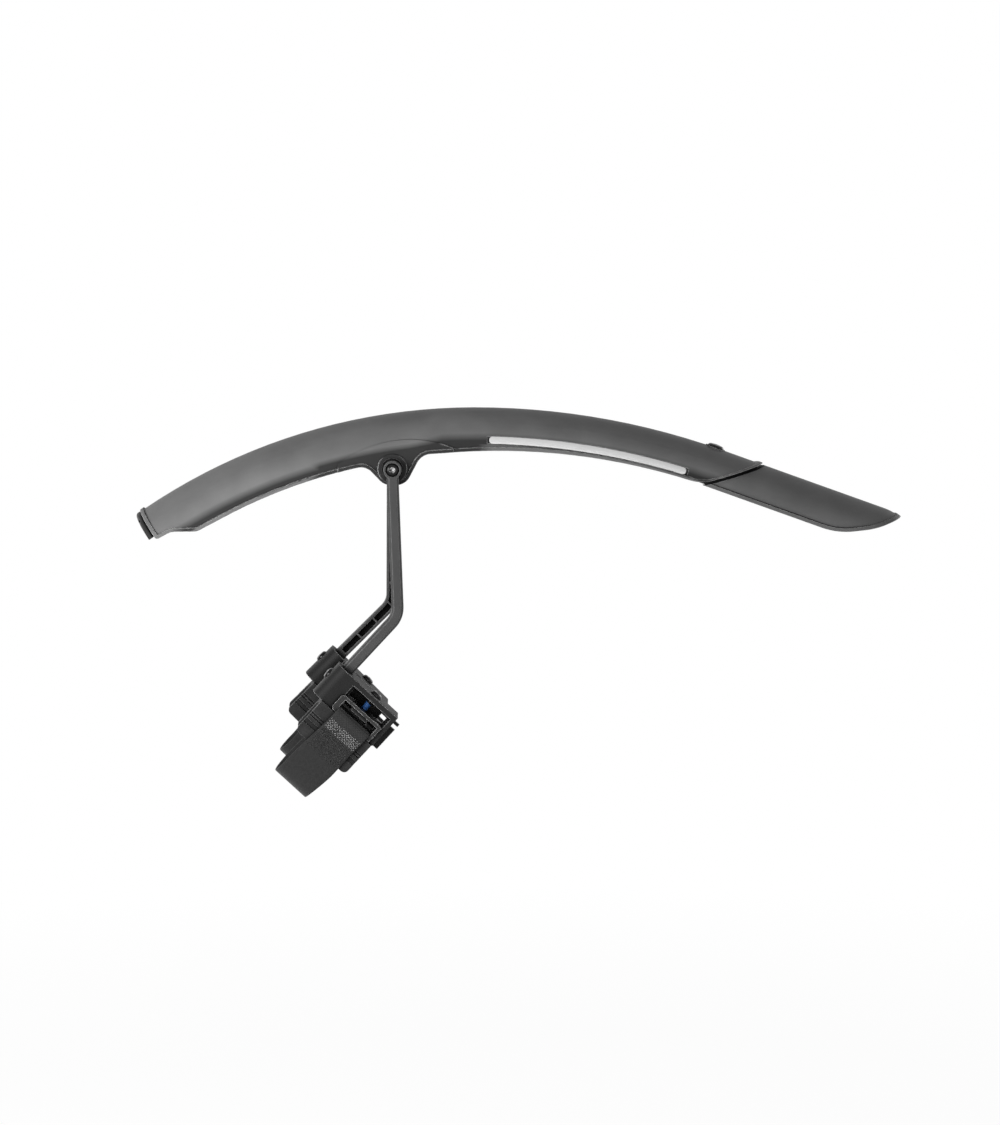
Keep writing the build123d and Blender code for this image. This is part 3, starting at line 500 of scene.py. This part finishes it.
def black_oxide(name):
    """Blackened steel: a thin dark film, with painted glints in patches of the key's recess and on its
    edges.

    The screw's UVs are the distance from its axis and the height over its seat, in mm.
    """
    s = Shader(name, grey(0.002), 0.12, 0.18)
    s.rounded(0.15)
    film = s.ramp(s.noise(700, 6.0), 0.3, 0.75)
    # Painted glints: on the edges and in patches of the key's recess.
    painted_highlight = s.product(s.edges(0.2), s.ramp(s.noise(1500, 4.0), 0.4, 0.6))
    tone = s.mix(film, grey(0.003), grey(0.006))
    uv = s.parts(s.coords("UV"))
    recess = s.product(s.ramp(uv["X"], 1.85, 1.6), s.ramp(uv["Y"], 0.0, 0.3))
    patchy_highlight = s.product(recess, s.ramp(s.noise(1300, 2.0), 0.42, 0.52))
    bright = s.math("MAXIMUM", s.product(painted_highlight, 0.15), patchy_highlight)
    s.paint(s.mix(bright, tone, grey(0.42)))
    s.gloss(s.noise(1200, 5.0), 0.1, 0.2)
    s.bump(s.noise(3000, 3.0), 0.01, 0.5)
    return s.material


def zinc(name):
    """Zinc-plated steel with a faint crystal pattern."""
    s = Shader(name, (0.56, 0.57, 0.6), 0.34, 0.5, 1.0)
    cells = s.node("ShaderNodeTexVoronoi", Scale=900.0)
    s.link(s.coords(), cells.inputs["Vector"])
    tone = s.ramp(cells.outputs["Distance"], 0.0, 0.8)
    s.paint(s.mix(tone, (0.48, 0.49, 0.52), (0.66, 0.67, 0.68)))
    s.gloss(s.noise(1400, 5.0), 0.26, 0.42)
    s.bump(cells.outputs["Distance"], 0.01, 0.4)
    return s.material


def reflector(name):
    """Reflective film: pale silver with fine prism cells under a smooth skin."""
    s = Shader(name, grey(0.46), 0.34, 0.5, 0.1)
    cells = s.node("ShaderNodeTexVoronoi", Scale=1400.0, feature="DISTANCE_TO_EDGE", Randomness=0.15)
    s.link(s.coords(), cells.inputs["Vector"])
    lines = s.ramp(cells.outputs["Distance"], 0.02, 0.12)
    tone = s.mix(s.noise(60, 3.0), grey(0.45), grey(0.5))
    s.paint(s.mix(lines, grey(0.4), tone))
    s.gloss(s.noise(300, 4.0), 0.28, 0.4)
    s.bump(lines, 0.01, 0.4)
    s.bsdf.inputs["Coat Weight"].default_value = 0.4
    s.bsdf.inputs["Coat Roughness"].default_value = 0.12
    return s.material


def webbing(name, tone, across_mm=0.9, along_mm=0.7):
    """Woven band: warp ribs along the strap and weft lines across it, from its own UVs in mm."""
    s = Shader(name, tone, 0.82, 0.15)
    uv = s.parts(s.coords("UV"))
    warp = s.math("SINE", s.product(uv["X"], 2 * pi / across_mm))
    weft = s.math("SINE", s.product(uv["Y"], 2 * pi / along_mm))
    weave = s.product(warp, weft)
    fuzz = s.noise(1800, 6.0)
    shade = s.ramp(s.math("ADD", s.product(weave, 0.25), fuzz), 0.2, 0.85)
    s.paint(s.mix(shade, tint(tone, 0.7), tint(tone, 1.35)))
    s.gloss(s.noise(500, 4.0), 0.74, 0.9)
    s.bump(weave, 0.06, 0.55)
    s.bump(fuzz, 0.05, 0.5)
    s.bsdf.inputs["Sheen Weight"].default_value = 0.12
    s.bsdf.inputs["Sheen Roughness"].default_value = 0.45
    return s.material


def nylon(name, tone, roughness, specular=0.4):
    """Drawn nylon of the hooks, fibres and the thread patch, uneven in tone."""
    s = Shader(name, tone, roughness, specular)
    uneven = s.ramp(s.noise(1300, 3.0), 0.3, 0.7)
    s.paint(s.mix(uneven, tint(tone, 0.6), tint(tone, 1.4)))
    s.gloss(s.noise(900, 3.0), roughness - 0.08, roughness + 0.08)
    s.bump(s.noise(2500, 3.0), 0.01, 0.5)
    return s.material


BLADE = moulded("blade_plastic", tone=grey(0.1), painted_highlight=grey(0.42), roughness=0.55, specular=0.2,
                grain_mm=0.32, grain_depth=0.03, round_mm=1.1, edge_mm=0.7,
                pocket=(6.0, 0.4, 0.8), rolled=True)
FLAP = moulded("flap_plastic", tone=grey(0.09), painted_highlight=grey(0.4), roughness=0.55, specular=0.2,
               grain_mm=0.32, grain_depth=0.03, round_mm=0.9, edge_mm=0.6, pocket=(6.0, 0.75, 0.99))
STAY = moulded("stay_plastic", tone=grey(0.034), painted_highlight=grey(0.16), roughness=0.45, specular=0.2,
               grain_mm=0.28, grain_depth=0.03, round_mm=1.3, edge_mm=0.8, pocket=(6.0, 0.45, 0.9))
BRACKET = moulded("bracket_plastic", tone=grey(0.005), painted_highlight=grey(0.3), roughness=0.58, specular=0.16,
                  grain_mm=0.25, grain_depth=0.03, round_mm=0.8, edge_mm=0.7, pocket=(5.0, 0.5, 0.95))
CARRIER = moulded("carrier_plastic", tone=grey(0.012), painted_highlight=grey(0.4), roughness=0.36, specular=0.2,
                  grain_mm=0.25, grain_depth=0.02, round_mm=0.5, edge_mm=0.6, pocket=(4.0, 0.5, 0.95))
RUBBER = rubber("rubber_black", grey(0.014), 0.55)
OXIDE = black_oxide("screw_black")
ZINC = zinc("nut_steel")
SILVER = reflector("reflective_silver")
WEBBING = webbing("strap_webbing", grey(0.02))
HOOK_TAPE = webbing("hook_tape", grey(0.022), 1.9, 1.9)
HOOK_NYLON = nylon("hook_nylon", grey(0.42), 0.3, 0.6)
LOOP_NYLON = nylon("loop_nylon", grey(0.05), 0.6, 0.3)
PATCH_NYLON = nylon("patch_nylon", (0.02, 0.08, 0.24), 0.45)


def dress(name, material, bevel_mm, segments=2):
    """Finish for a CAD node, with its sharp edges eased."""
    obj = nodes[name]
    obj.data.materials.clear()
    obj.data.materials.append(material)
    ease = obj.modifiers.new("eased_edges", "BEVEL")
    ease.width = bevel_mm * MM
    ease.segments = segments
    ease.limit_method = "ANGLE"
    ease.angle_limit = radians(32)
    ease.harden_normals = True


dress("blade", BLADE, 0.45, 3)
dress("tail_flap", FLAP, 0.3, 3)
dress("front_bumper", RUBBER, 0.4)
dress("flap_nut", ZINC, 0.15)
for side in SIDES:
    dress("reflective_strip_" + side, SILVER, 0.12)
    dress("pivot_washer_" + side, BRACKET, 0.15)
    dress("pivot_nut_" + side, ZINC, 0.2)
    dress("stay_" + side, STAY, 0.25)
    dress("clamp_body_" + side, BRACKET, 0.35)
    dress("tension_nut_" + side, ZINC, 0.15)
    dress("strap_carrier_" + side, CARRIER, 0.3)
    dress("saddle_pad_" + side, RUBBER, 0.5)


def mesh_object(name, verts, faces, material, body, uvs=None):
    """New piece from points in metres, riding on a body."""
    mesh = bpy.data.meshes.new(name)
    mesh.from_pydata(verts, [], faces)
    mesh.validate()
    shell = bmesh.new()
    shell.from_mesh(mesh)
    bmesh.ops.recalc_face_normals(shell, faces=shell.faces)
    shell.to_mesh(mesh)
    shell.free()
    mesh.materials.append(material)
    for face in mesh.polygons:
        face.use_smooth = True
    if uvs is not None:
        layer = mesh.uv_layers.new(name="measures")
        for loop in mesh.loops:
            layer.data[loop.index].uv = uvs[loop.vertex_index]
    obj = bpy.data.objects.new(name, mesh)
    bpy.context.collection.objects.link(obj)
    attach(obj, body)
    return obj


# Screws: a domed head with a hexagon recess and a threaded shank
def hexagon(flats, height):
    """Ring of points on a hexagon of the recess."""
    ring = []
    for i in range(RING_POINTS):
        a = 2 * pi * i / RING_POINTS
        local = (a - KEY_TURN) % (pi / 3) - pi / 6
        r = flats / 2 / cos(local)
        ring.append((r * cos(a), r * sin(a), height))
    return ring


def thread_radius(radius, length, pitch, h, a):
    """Radius of the thread at a height h under the head and an angle a round the screw."""
    turn = (h / pitch + a / (2 * pi)) % 1.0
    cut = abs(2 * turn - 1) * THREAD_DEPTH * pitch / THREAD_PITCH
    ease = min(max((-h - PLAIN_SHANK) / pitch, 0.0), 1.0)
    tip = min((length + h) / TIP_LENGTH, 1.0)
    return (radius - cut * ease) * (TIP_SHARE + (1 - TIP_SHARE) * tip)


def screw_rings(head_radius, head_height, key_flats, radius, length, pitch):
    """Rings of points from the recess over the head and down the thread, Z along the screw."""
    angles = [2 * pi * i / RING_POINTS for i in range(RING_POINTS)]
    rings = [hexagon(key_flats, KEY_FLOOR_SHARE * head_height),
             hexagon(key_flats, head_height - KEY_LEAD_HEIGHT),
             hexagon(key_flats + KEY_LEAD_FLATS, head_height)]
    crown = CROWN_SHARE * head_radius
    skirt = SKIRT_SHARE * head_height
    profile = [(crown + (head_radius - crown) * sin(a), skirt + (head_height - skirt) * cos(a))
               for a in DOME_ANGLES]
    profile += [(head_radius, SEAT_EASE), (head_radius - SEAT_EASE, 0.0), (radius + SHANK_FILLET, 0.0)]
    for r, h in profile:
        rings.append([(r * cos(a), r * sin(a), h) for a in angles])
    rows = int(length / pitch * THREAD_STEPS)
    for j in range(rows + 1):
        h = -length * j / rows
        ring = []
        for a in angles:
            r = thread_radius(radius, length, pitch, h, a)
            ring.append((r * cos(a), r * sin(a), h))
        rings.append(ring)
    return rings


def ring_faces(first, last):
    """Faces between the rings from first to last."""
    n = RING_POINTS
    faces = []
    for i in range(first, last):
        for j in range(n):
            k = (j + 1) % n
            faces.append((i * n + j, (i + 1) * n + j, (i + 1) * n + k, i * n + k))
    return faces


def screw(name, node, seat, outward, body, sizes, patch=None):
    """Screw at its seat, head towards outward. A coloured patch may cover part of the thread."""
    rings = screw_rings(*sizes)
    turn = Vector(outward).to_track_quat("Z", "Y").to_matrix().to_4x4()
    at = Matrix.Translation(seat) @ turn @ Matrix.Scale(MM, 4)
    verts = [at @ Vector(p) for ring in rings for p in ring]
    last = len(rings) - 1
    hidden = []
    if patch:
        hidden = [i for i in range(HEAD_RINGS, last) if patch[0] < -rings[i][0][2] < patch[1]]
    faces = []
    for i in range(last):
        if i not in hidden:
            faces += ring_faces(i, i + 1)
    faces.append(tuple(range(RING_POINTS)))
    faces.append(tuple(reversed(range(last * RING_POINTS, (last + 1) * RING_POINTS))))
    uvs = [(sqrt(x * x + y * y), h) for ring in rings for x, y, h in ring]
    obj = mesh_object(name, verts, faces, OXIDE, body, uvs)
    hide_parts(node)
    if hidden:
        cover = rings[hidden[0]:hidden[-1] + 2]
        verts = [at @ Vector(p) for ring in cover for p in ring]
        faces = ring_faces(0, len(cover) - 1)
        mesh_object(name + "_patch", verts, faces, PATCH_NYLON, body)


def m4(length):
    return (M4_HEAD_RADIUS, M4_HEAD_HEIGHT, M4_KEY_FLATS, M4_RADIUS, length, THREAD_PITCH)


for side in SIDES:
    out = -1 if side == "left" else 1
    pivot_at = place(0, out * PIVOT_SEAT, 0)
    screw("button_screw_pivot_" + side, "pivot_screw_" + side, pivot_at, (0, out, 0),
          "mudguard_blade", m4(PIVOT_LENGTH))
    up = clamp_place(side, 0, 0, 0) - clamp_place(side, 1, 0, 0)
    ahead = clamp_place(side, 0, 0, 0) - clamp_place(side, 0, 1, 0)
    socket_at = clamp_place(side, SOCKET_SCREW_U, SOCKET_SEAT, 0)
    screw("button_screw_socket_" + side, "socket_screw_" + side, socket_at, ahead,
          "stay_" + side, m4(SOCKET_LENGTH))
    tension_at = clamp_place(side, 0, STRAP_CENTRE_V, 0)
    screw("button_screw_tension_" + side, "tension_screw_" + side, tension_at, up,
          "stay_" + side, m4(TENSION_LENGTH), PATCH)

tail = radians(TAIL_ANGLE)
tail_up = Vector((sin(tail), 0, cos(tail)))
tail_at = place(TAIL_X + KNOB_AT * cos(tail), 0, TAIL_Z - KNOB_AT * sin(tail))
screw("knob_screw", "flap_knob", tail_at + tail_up * (KNOB_SEAT * MM), tail_up, "mudguard_blade",
      (KNOB_RADIUS, KNOB_HEIGHT, KNOB_KEY_FLATS, M5_RADIUS, KNOB_LENGTH, M5_PITCH))


# Straps: a swept band that hooks over the carrier's low bar on both sides
def strap_path(side):
    """Middle line of the band as (y, u, length), from one inner tail to the other."""
    half = STRAP_OUT - STRAP_THICK / 2
    loop_u = STRAP_END_U[side] - STRAP_OUT
    top_u = STRAP_TOP_U
    corner_u = top_u + STRAP_CORNER
    inner_y = STRAP_TAIL_Y + STRAP_CORNER
    outer_y = half - STRAP_CORNER
    pts = []

    def line(a, b, count):
        for i in range(count):
            t = i / count
            pts.append((a[0] + (b[0] - a[0]) * t, a[1] + (b[1] - a[1]) * t))

    def arc(cy, cu, r, a0, a1, count):
        for i in range(count):
            a = radians(a0 + (a1 - a0) * i / count)
            pts.append((cy + r * cos(a), cu + r * sin(a)))

    line((STRAP_TAIL_Y, top_u + STRAP_TAIL), (STRAP_TAIL_Y, corner_u), 4)
    arc(inner_y, corner_u, STRAP_CORNER, 180, 270, 6)
    line((inner_y, top_u), (outer_y, top_u), 6)
    arc(outer_y, corner_u, STRAP_CORNER, -90, 0, 6)
    line((half, corner_u), (half, loop_u), 44)
    arc(0, loop_u, half, 0, 90, 22)
    first = list(pts)
    pts.append((0, STRAP_END_U[side] - STRAP_THICK / 2))
    for y, u in reversed(first):
        pts.append((-y, u))
    out = []
    run = 0.0
    for i, (y, u) in enumerate(pts):
        if i:
            run += sqrt((y - pts[i - 1][0]) ** 2 + (u - pts[i - 1][1]) ** 2)
        out.append((y, u, run))
    return out


def strap_profile(width, thick):
    """Half-round selvedges and flat faces as (v, thickness) pairs round the band."""
    r = thick / 2
    flat = width / 2 - r
    rows = 12
    bend = (pi / 4, pi / 2, 3 * pi / 4)
    out = [(-flat + 2 * flat * i / rows, r) for i in range(rows + 1)]
    out += [(flat + r * sin(a), r * cos(a)) for a in bend]
    out += [(flat - 2 * flat * i / rows, -r) for i in range(rows + 1)]
    out += [(-flat - r * sin(a), -r * cos(a)) for a in bend]
    return out


def smooth(value, low, high):
    t = min(max((value - low) / (high - low), 0.0), 1.0)
    return t * t * (3 - 2 * t)


def strap_v(side, u, v):
    """Place along the seat stay: the loop drifts sideways and its rear edge swells a little."""
    end = STRAP_END_U[side]
    drift = STRAP_LEAN[side] * smooth(u, STRAP_TOP_U + 4, end - 10)
    belly = sin(pi * smooth(u, FLAP_END_U, end))
    swell = STRAP_SWELL[side] * belly * (v / STRAP_WIDTH + 0.5)
    return STRAP_CENTRE_V + v + drift + swell


def swept_band(side, path, profile):
    """Points, faces and UVs in mm of a band swept along a path of (y, u, length)."""
    verts = []
    uvs = []
    for i, (y, u, run) in enumerate(path):
        a = path[max(i - 1, 0)]
        b = path[min(i + 1, len(path) - 1)]
        dy = b[0] - a[0]
        du = b[1] - a[1]
        length = sqrt(dy * dy + du * du)
        ny = -du / length
        nu = dy / length
        for v, n in profile:
            verts.append(clamp_place(side, u + nu * n, strap_v(side, u, v), y + ny * n))
            uvs.append((v, run))
    count = len(profile)
    faces = []
    for i in range(len(path) - 1):
        for j in range(count):
            k = (j + 1) % count
            faces.append((i * count + j, i * count + k, (i + 1) * count + k, (i + 1) * count + j))
    last = (len(path) - 1) * count
    faces.append(tuple(reversed(range(count))))
    faces.append(tuple(last + j for j in range(count)))
    return verts, faces, uvs


def flap_lift(u):
    """How far the tip of the folded end stands off the strap."""
    return FLAP_LIFT * smooth(u, FLAP_END_U - FLAP_LIFT_REACH, FLAP_END_U)


def flap_path():
    """The strap's end, folded over and pressed flat on its outer face."""
    y = STRAP_OUT + FLAP_THICK / 2 + FLAP_GAP
    start = STRAP_TOP_U + FLAP_START
    rows = 30
    out = []
    for i in range(rows + 1):
        u = start + (FLAP_END_U - start) * i / rows
        tuck = FLAP_TUCK * (1 - smooth(u, start, start + FLAP_TUCK_REACH))
        out.append((y - tuck + flap_lift(u), u, u))
    return out


def tube_faces(rings, corners):
    """Faces of an open tube with a few corners."""
    faces = []
    for i in range(rings - 1):
        for k in range(corners):
            n = (k + 1) % corners
            low = i * corners
            high = low + corners
            faces.append((low + k, low + n, high + n, high + k))
    return faces


def hook(at, along, out):
    """One small hook: a bent stalk of four-sided rings, from a point on the tape."""
    across = along.cross(out)
    slant = (along + out).normalized()
    verts = []
    for i, (a, h) in enumerate(HOOK_SPINE):
        centre = at + along * (a * MM) + out * (h * MM)
        size = HOOK_SIZE * (1 - 0.1 * i) * MM
        for k in range(4):
            t = pi / 2 * k + pi / 4
            verts.append(centre + (across * cos(t) + slant * sin(t)) * size)
    return verts, tube_faces(len(HOOK_SPINE), 4) + [(16, 17, 18, 19)]


def fibre(at, along, out, rng):
    """One loop fibre: a thin arched thread lying on the strap."""
    across = along.cross(out)
    turn = rng.uniform(0, 2 * pi)
    aim = along * cos(turn) + across * sin(turn)
    beside = aim.cross(out)
    long = rng.uniform(*FIBRE_LONG)
    high = rng.uniform(*FIBRE_HIGH)
    size = FIBRE_SIZE * MM
    rings = 6
    verts = []
    for i in range(rings):
        t = i / (rings - 1)
        rise = (high * sin(pi * t) - FIBRE_SINK) * MM
        centre = at + aim * ((t - 0.5) * long * MM) + out * rise
        for k in range(3):
            a = 2 * pi * k / 3
            verts.append(centre + beside * (cos(a) * size) + out * (sin(a) * size))
    return verts, tube_faces(rings, 3)


def gather(name, parts, material, body):
    """Many small shapes as one piece."""
    verts = []
    faces = []
    for part_verts, part_faces in parts:
        base = len(verts)
        verts += part_verts
        faces += [tuple(base + i for i in f) for f in part_faces]
    return mesh_object(name, verts, faces, material, body)


def hooks_on(side, along, out, rng):
    """Hooks in staggered rows on the folded end, a few of them missing."""
    hooks = []
    rows = int((FLAP_END_U - HOOKS_END_GAP - HOOKS_START_U) / HOOK_PITCH)
    columns = int(HOOKS_WIDTH / HOOK_PITCH)
    for i in range(rows + 1):
        u = HOOKS_START_U + i * HOOK_PITCH
        y = STRAP_OUT + FLAP_THICK + HOOK_GAP + flap_lift(u)
        for j in range(columns + 1):
            v = -HOOKS_WIDTH / 2 + (j + 0.5 * (i % 2)) * HOOK_PITCH
            if v > HOOKS_LIMIT / 2 or rng.random() < HOOK_MISSING:
                continue
            at = clamp_place(side, u, strap_v(side, u, v), y)
            way = along if (i + j) % 2 else -along
            hooks.append(hook(at, way, out))
    return hooks


def loops_on(side, along, out, rng):
    """Loop fibres beyond the folded end, thinner towards the strap's loop."""
    fibres = []
    reach = STRAP_WIDTH / 2 - FUZZ_MARGIN
    for i in range(FUZZ_COUNT):
        along_share = rng.random() ** FUZZ_THINNING
        u = FLAP_END_U + FUZZ_START + (FUZZ_END_U - FLAP_END_U) * along_share
        v = rng.uniform(-reach, reach)
        at = clamp_place(side, u, strap_v(side, u, v), STRAP_OUT)
        fibres.append(fibre(at, along, out, rng))
    return fibres


def strap(side):
    """One strap: the band, its folded end, and the hooks and loops on them."""
    body = "strap_" + side
    path = strap_path(side)
    verts, faces, uvs = swept_band(side, path, strap_profile(STRAP_WIDTH, STRAP_THICK))
    band = mesh_object("strap_band_" + side, verts, faces, WEBBING, body, uvs)
    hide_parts("strap_" + side)
    profile = strap_profile(STRAP_WIDTH - FLAP_INSET, FLAP_THICK)
    verts, faces, uvs = swept_band(side, flap_path(), profile)
    flap = mesh_object("strap_fold_" + side, verts, faces, HOOK_TAPE, body, uvs)
    out = (clamp_place(side, 0, 0, 1) - clamp_place(side, 0, 0, 0)).normalized()
    along = (clamp_place(side, 1, 0, 0) - clamp_place(side, 0, 0, 0)).normalized()
    rng = random.Random(STRAP_SEED[side])
    hooks = hooks_on(side, along, out, rng)
    hook_piece = gather("strap_hooks_" + side, hooks, HOOK_NYLON, body)
    fuzz = gather("strap_loops_" + side, loops_on(side, along, out, rng), LOOP_NYLON, body)


for side in SIDES:
    strap(side)


# World and floor: white to the camera and in reflections, a plain soft level as light
def seen(tree):
    """1 for camera, mirror and see-through rays, 0 for the rays that carry light."""
    ray = tree.nodes.new("ShaderNodeLightPath")
    value = ray.outputs["Is Camera Ray"]
    for name in ("Is Glossy Ray", "Is Transmission Ray"):
        most = add_node(tree, "ShaderNodeMath", operation="MAXIMUM")
        tree.links.new(value, most.inputs[0])
        tree.links.new(ray.outputs[name], most.inputs[1])
        value = most.outputs[0]
    return value


def blend(tree, share, low, high, output):
    """Puts a mix of two shaders on the output."""
    mixed = tree.nodes.new("ShaderNodeMixShader")
    tree.links.new(share, mixed.inputs[0])
    tree.links.new(low.outputs[0], mixed.inputs[1])
    tree.links.new(high.outputs[0], mixed.inputs[2])
    tree.links.new(mixed.outputs[0], tree.nodes.new(output).inputs["Surface"])


world = bpy.data.worlds.new("studio")
bpy.context.scene.world = world
world.use_nodes = True
sky = world.node_tree
sky.nodes.clear()
soft = add_node(sky, "ShaderNodeBackground", Color=(1, 1, 1, 1), Strength=WORLD_LIGHT)
white = add_node(sky, "ShaderNodeBackground", Color=(1, 1, 1, 1), Strength=1.0)
blend(sky, seen(sky), soft, white, "ShaderNodeOutputWorld")

# The floor lies some way below the part, because it is made to hang on a bicycle.
# It is pure white far out, and closer in it keeps the part's shadow.
floor_z = cad_low[2] - FLOOR_DROP
floor_mesh = bpy.data.meshes.new("floor")
corners = [(x * FLOOR_REACH, y * FLOOR_REACH, floor_z)
           for x, y in ((-1, -1), (1, -1), (1, 1), (-1, 1))]
floor_mesh.from_pydata(corners, [], [(0, 1, 2, 3)])
floor = bpy.data.objects.new("floor", floor_mesh)
bpy.context.collection.objects.link(floor)
paper = bpy.data.materials.new("floor_paper")
paper.use_nodes = True
sheet = paper.node_tree
sheet.nodes.clear()
matt = add_node(sheet, "ShaderNodeBsdfDiffuse", Color=(*grey(FLOOR_TONE), 1))
glow = add_node(sheet, "ShaderNodeEmission", Strength=1.0)
spot = sheet.nodes.new("ShaderNodeTexCoord")
distance = add_node(sheet, "ShaderNodeVectorMath", operation="LENGTH")
far = add_node(sheet, "ShaderNodeMapRange", From_Min=FLOOR_WHITE_FROM, From_Max=FLOOR_WHITE_TO,
               To_Min=FLOOR_WHITE_SHARE, To_Max=1.0)
share = add_node(sheet, "ShaderNodeMath", operation="MULTIPLY")
sheet.links.new(spot.outputs["Object"], distance.inputs[0])
sheet.links.new(distance.outputs["Value"], far.inputs["Value"])
sheet.links.new(seen(sheet), share.inputs[0])
sheet.links.new(far.outputs["Result"], share.inputs[1])
blend(sheet, share.outputs[0], matt, glow, "ShaderNodeOutputMaterial")
floor_mesh.materials.append(paper)


def softbox(name, azimuth, elevation, reach, size, radiance):
    """Large soft lamp in a direction from the part, aimed back at it."""
    aim = direction(azimuth, elevation)
    data = bpy.data.lights.new(name, "AREA")
    data.shape = "RECTANGLE"
    data.size = size[0]
    data.size_y = size[1]
    data.energy = radiance * pi * size[0] * size[1]
    obj = bpy.data.objects.new(name, data)
    bpy.context.collection.objects.link(obj)
    obj.location = aim * reach
    obj.rotation_euler = aim.to_track_quat("Z", "Y").to_euler()


softbox("key", -44, 9, 0.72, (0.36, 0.36), 15.0)
softbox("front", 8, 3, 1.5, (0.9, 0.6), 3.6)
softbox("side", 62, 14, 1.2, (0.4, 0.6), 2.5)
softbox("back_left", -125, 8, 1.2, (0.6, 0.6), 4.0)
softbox("back_right", 125, 8, 1.2, (0.6, 0.6), 4.0)
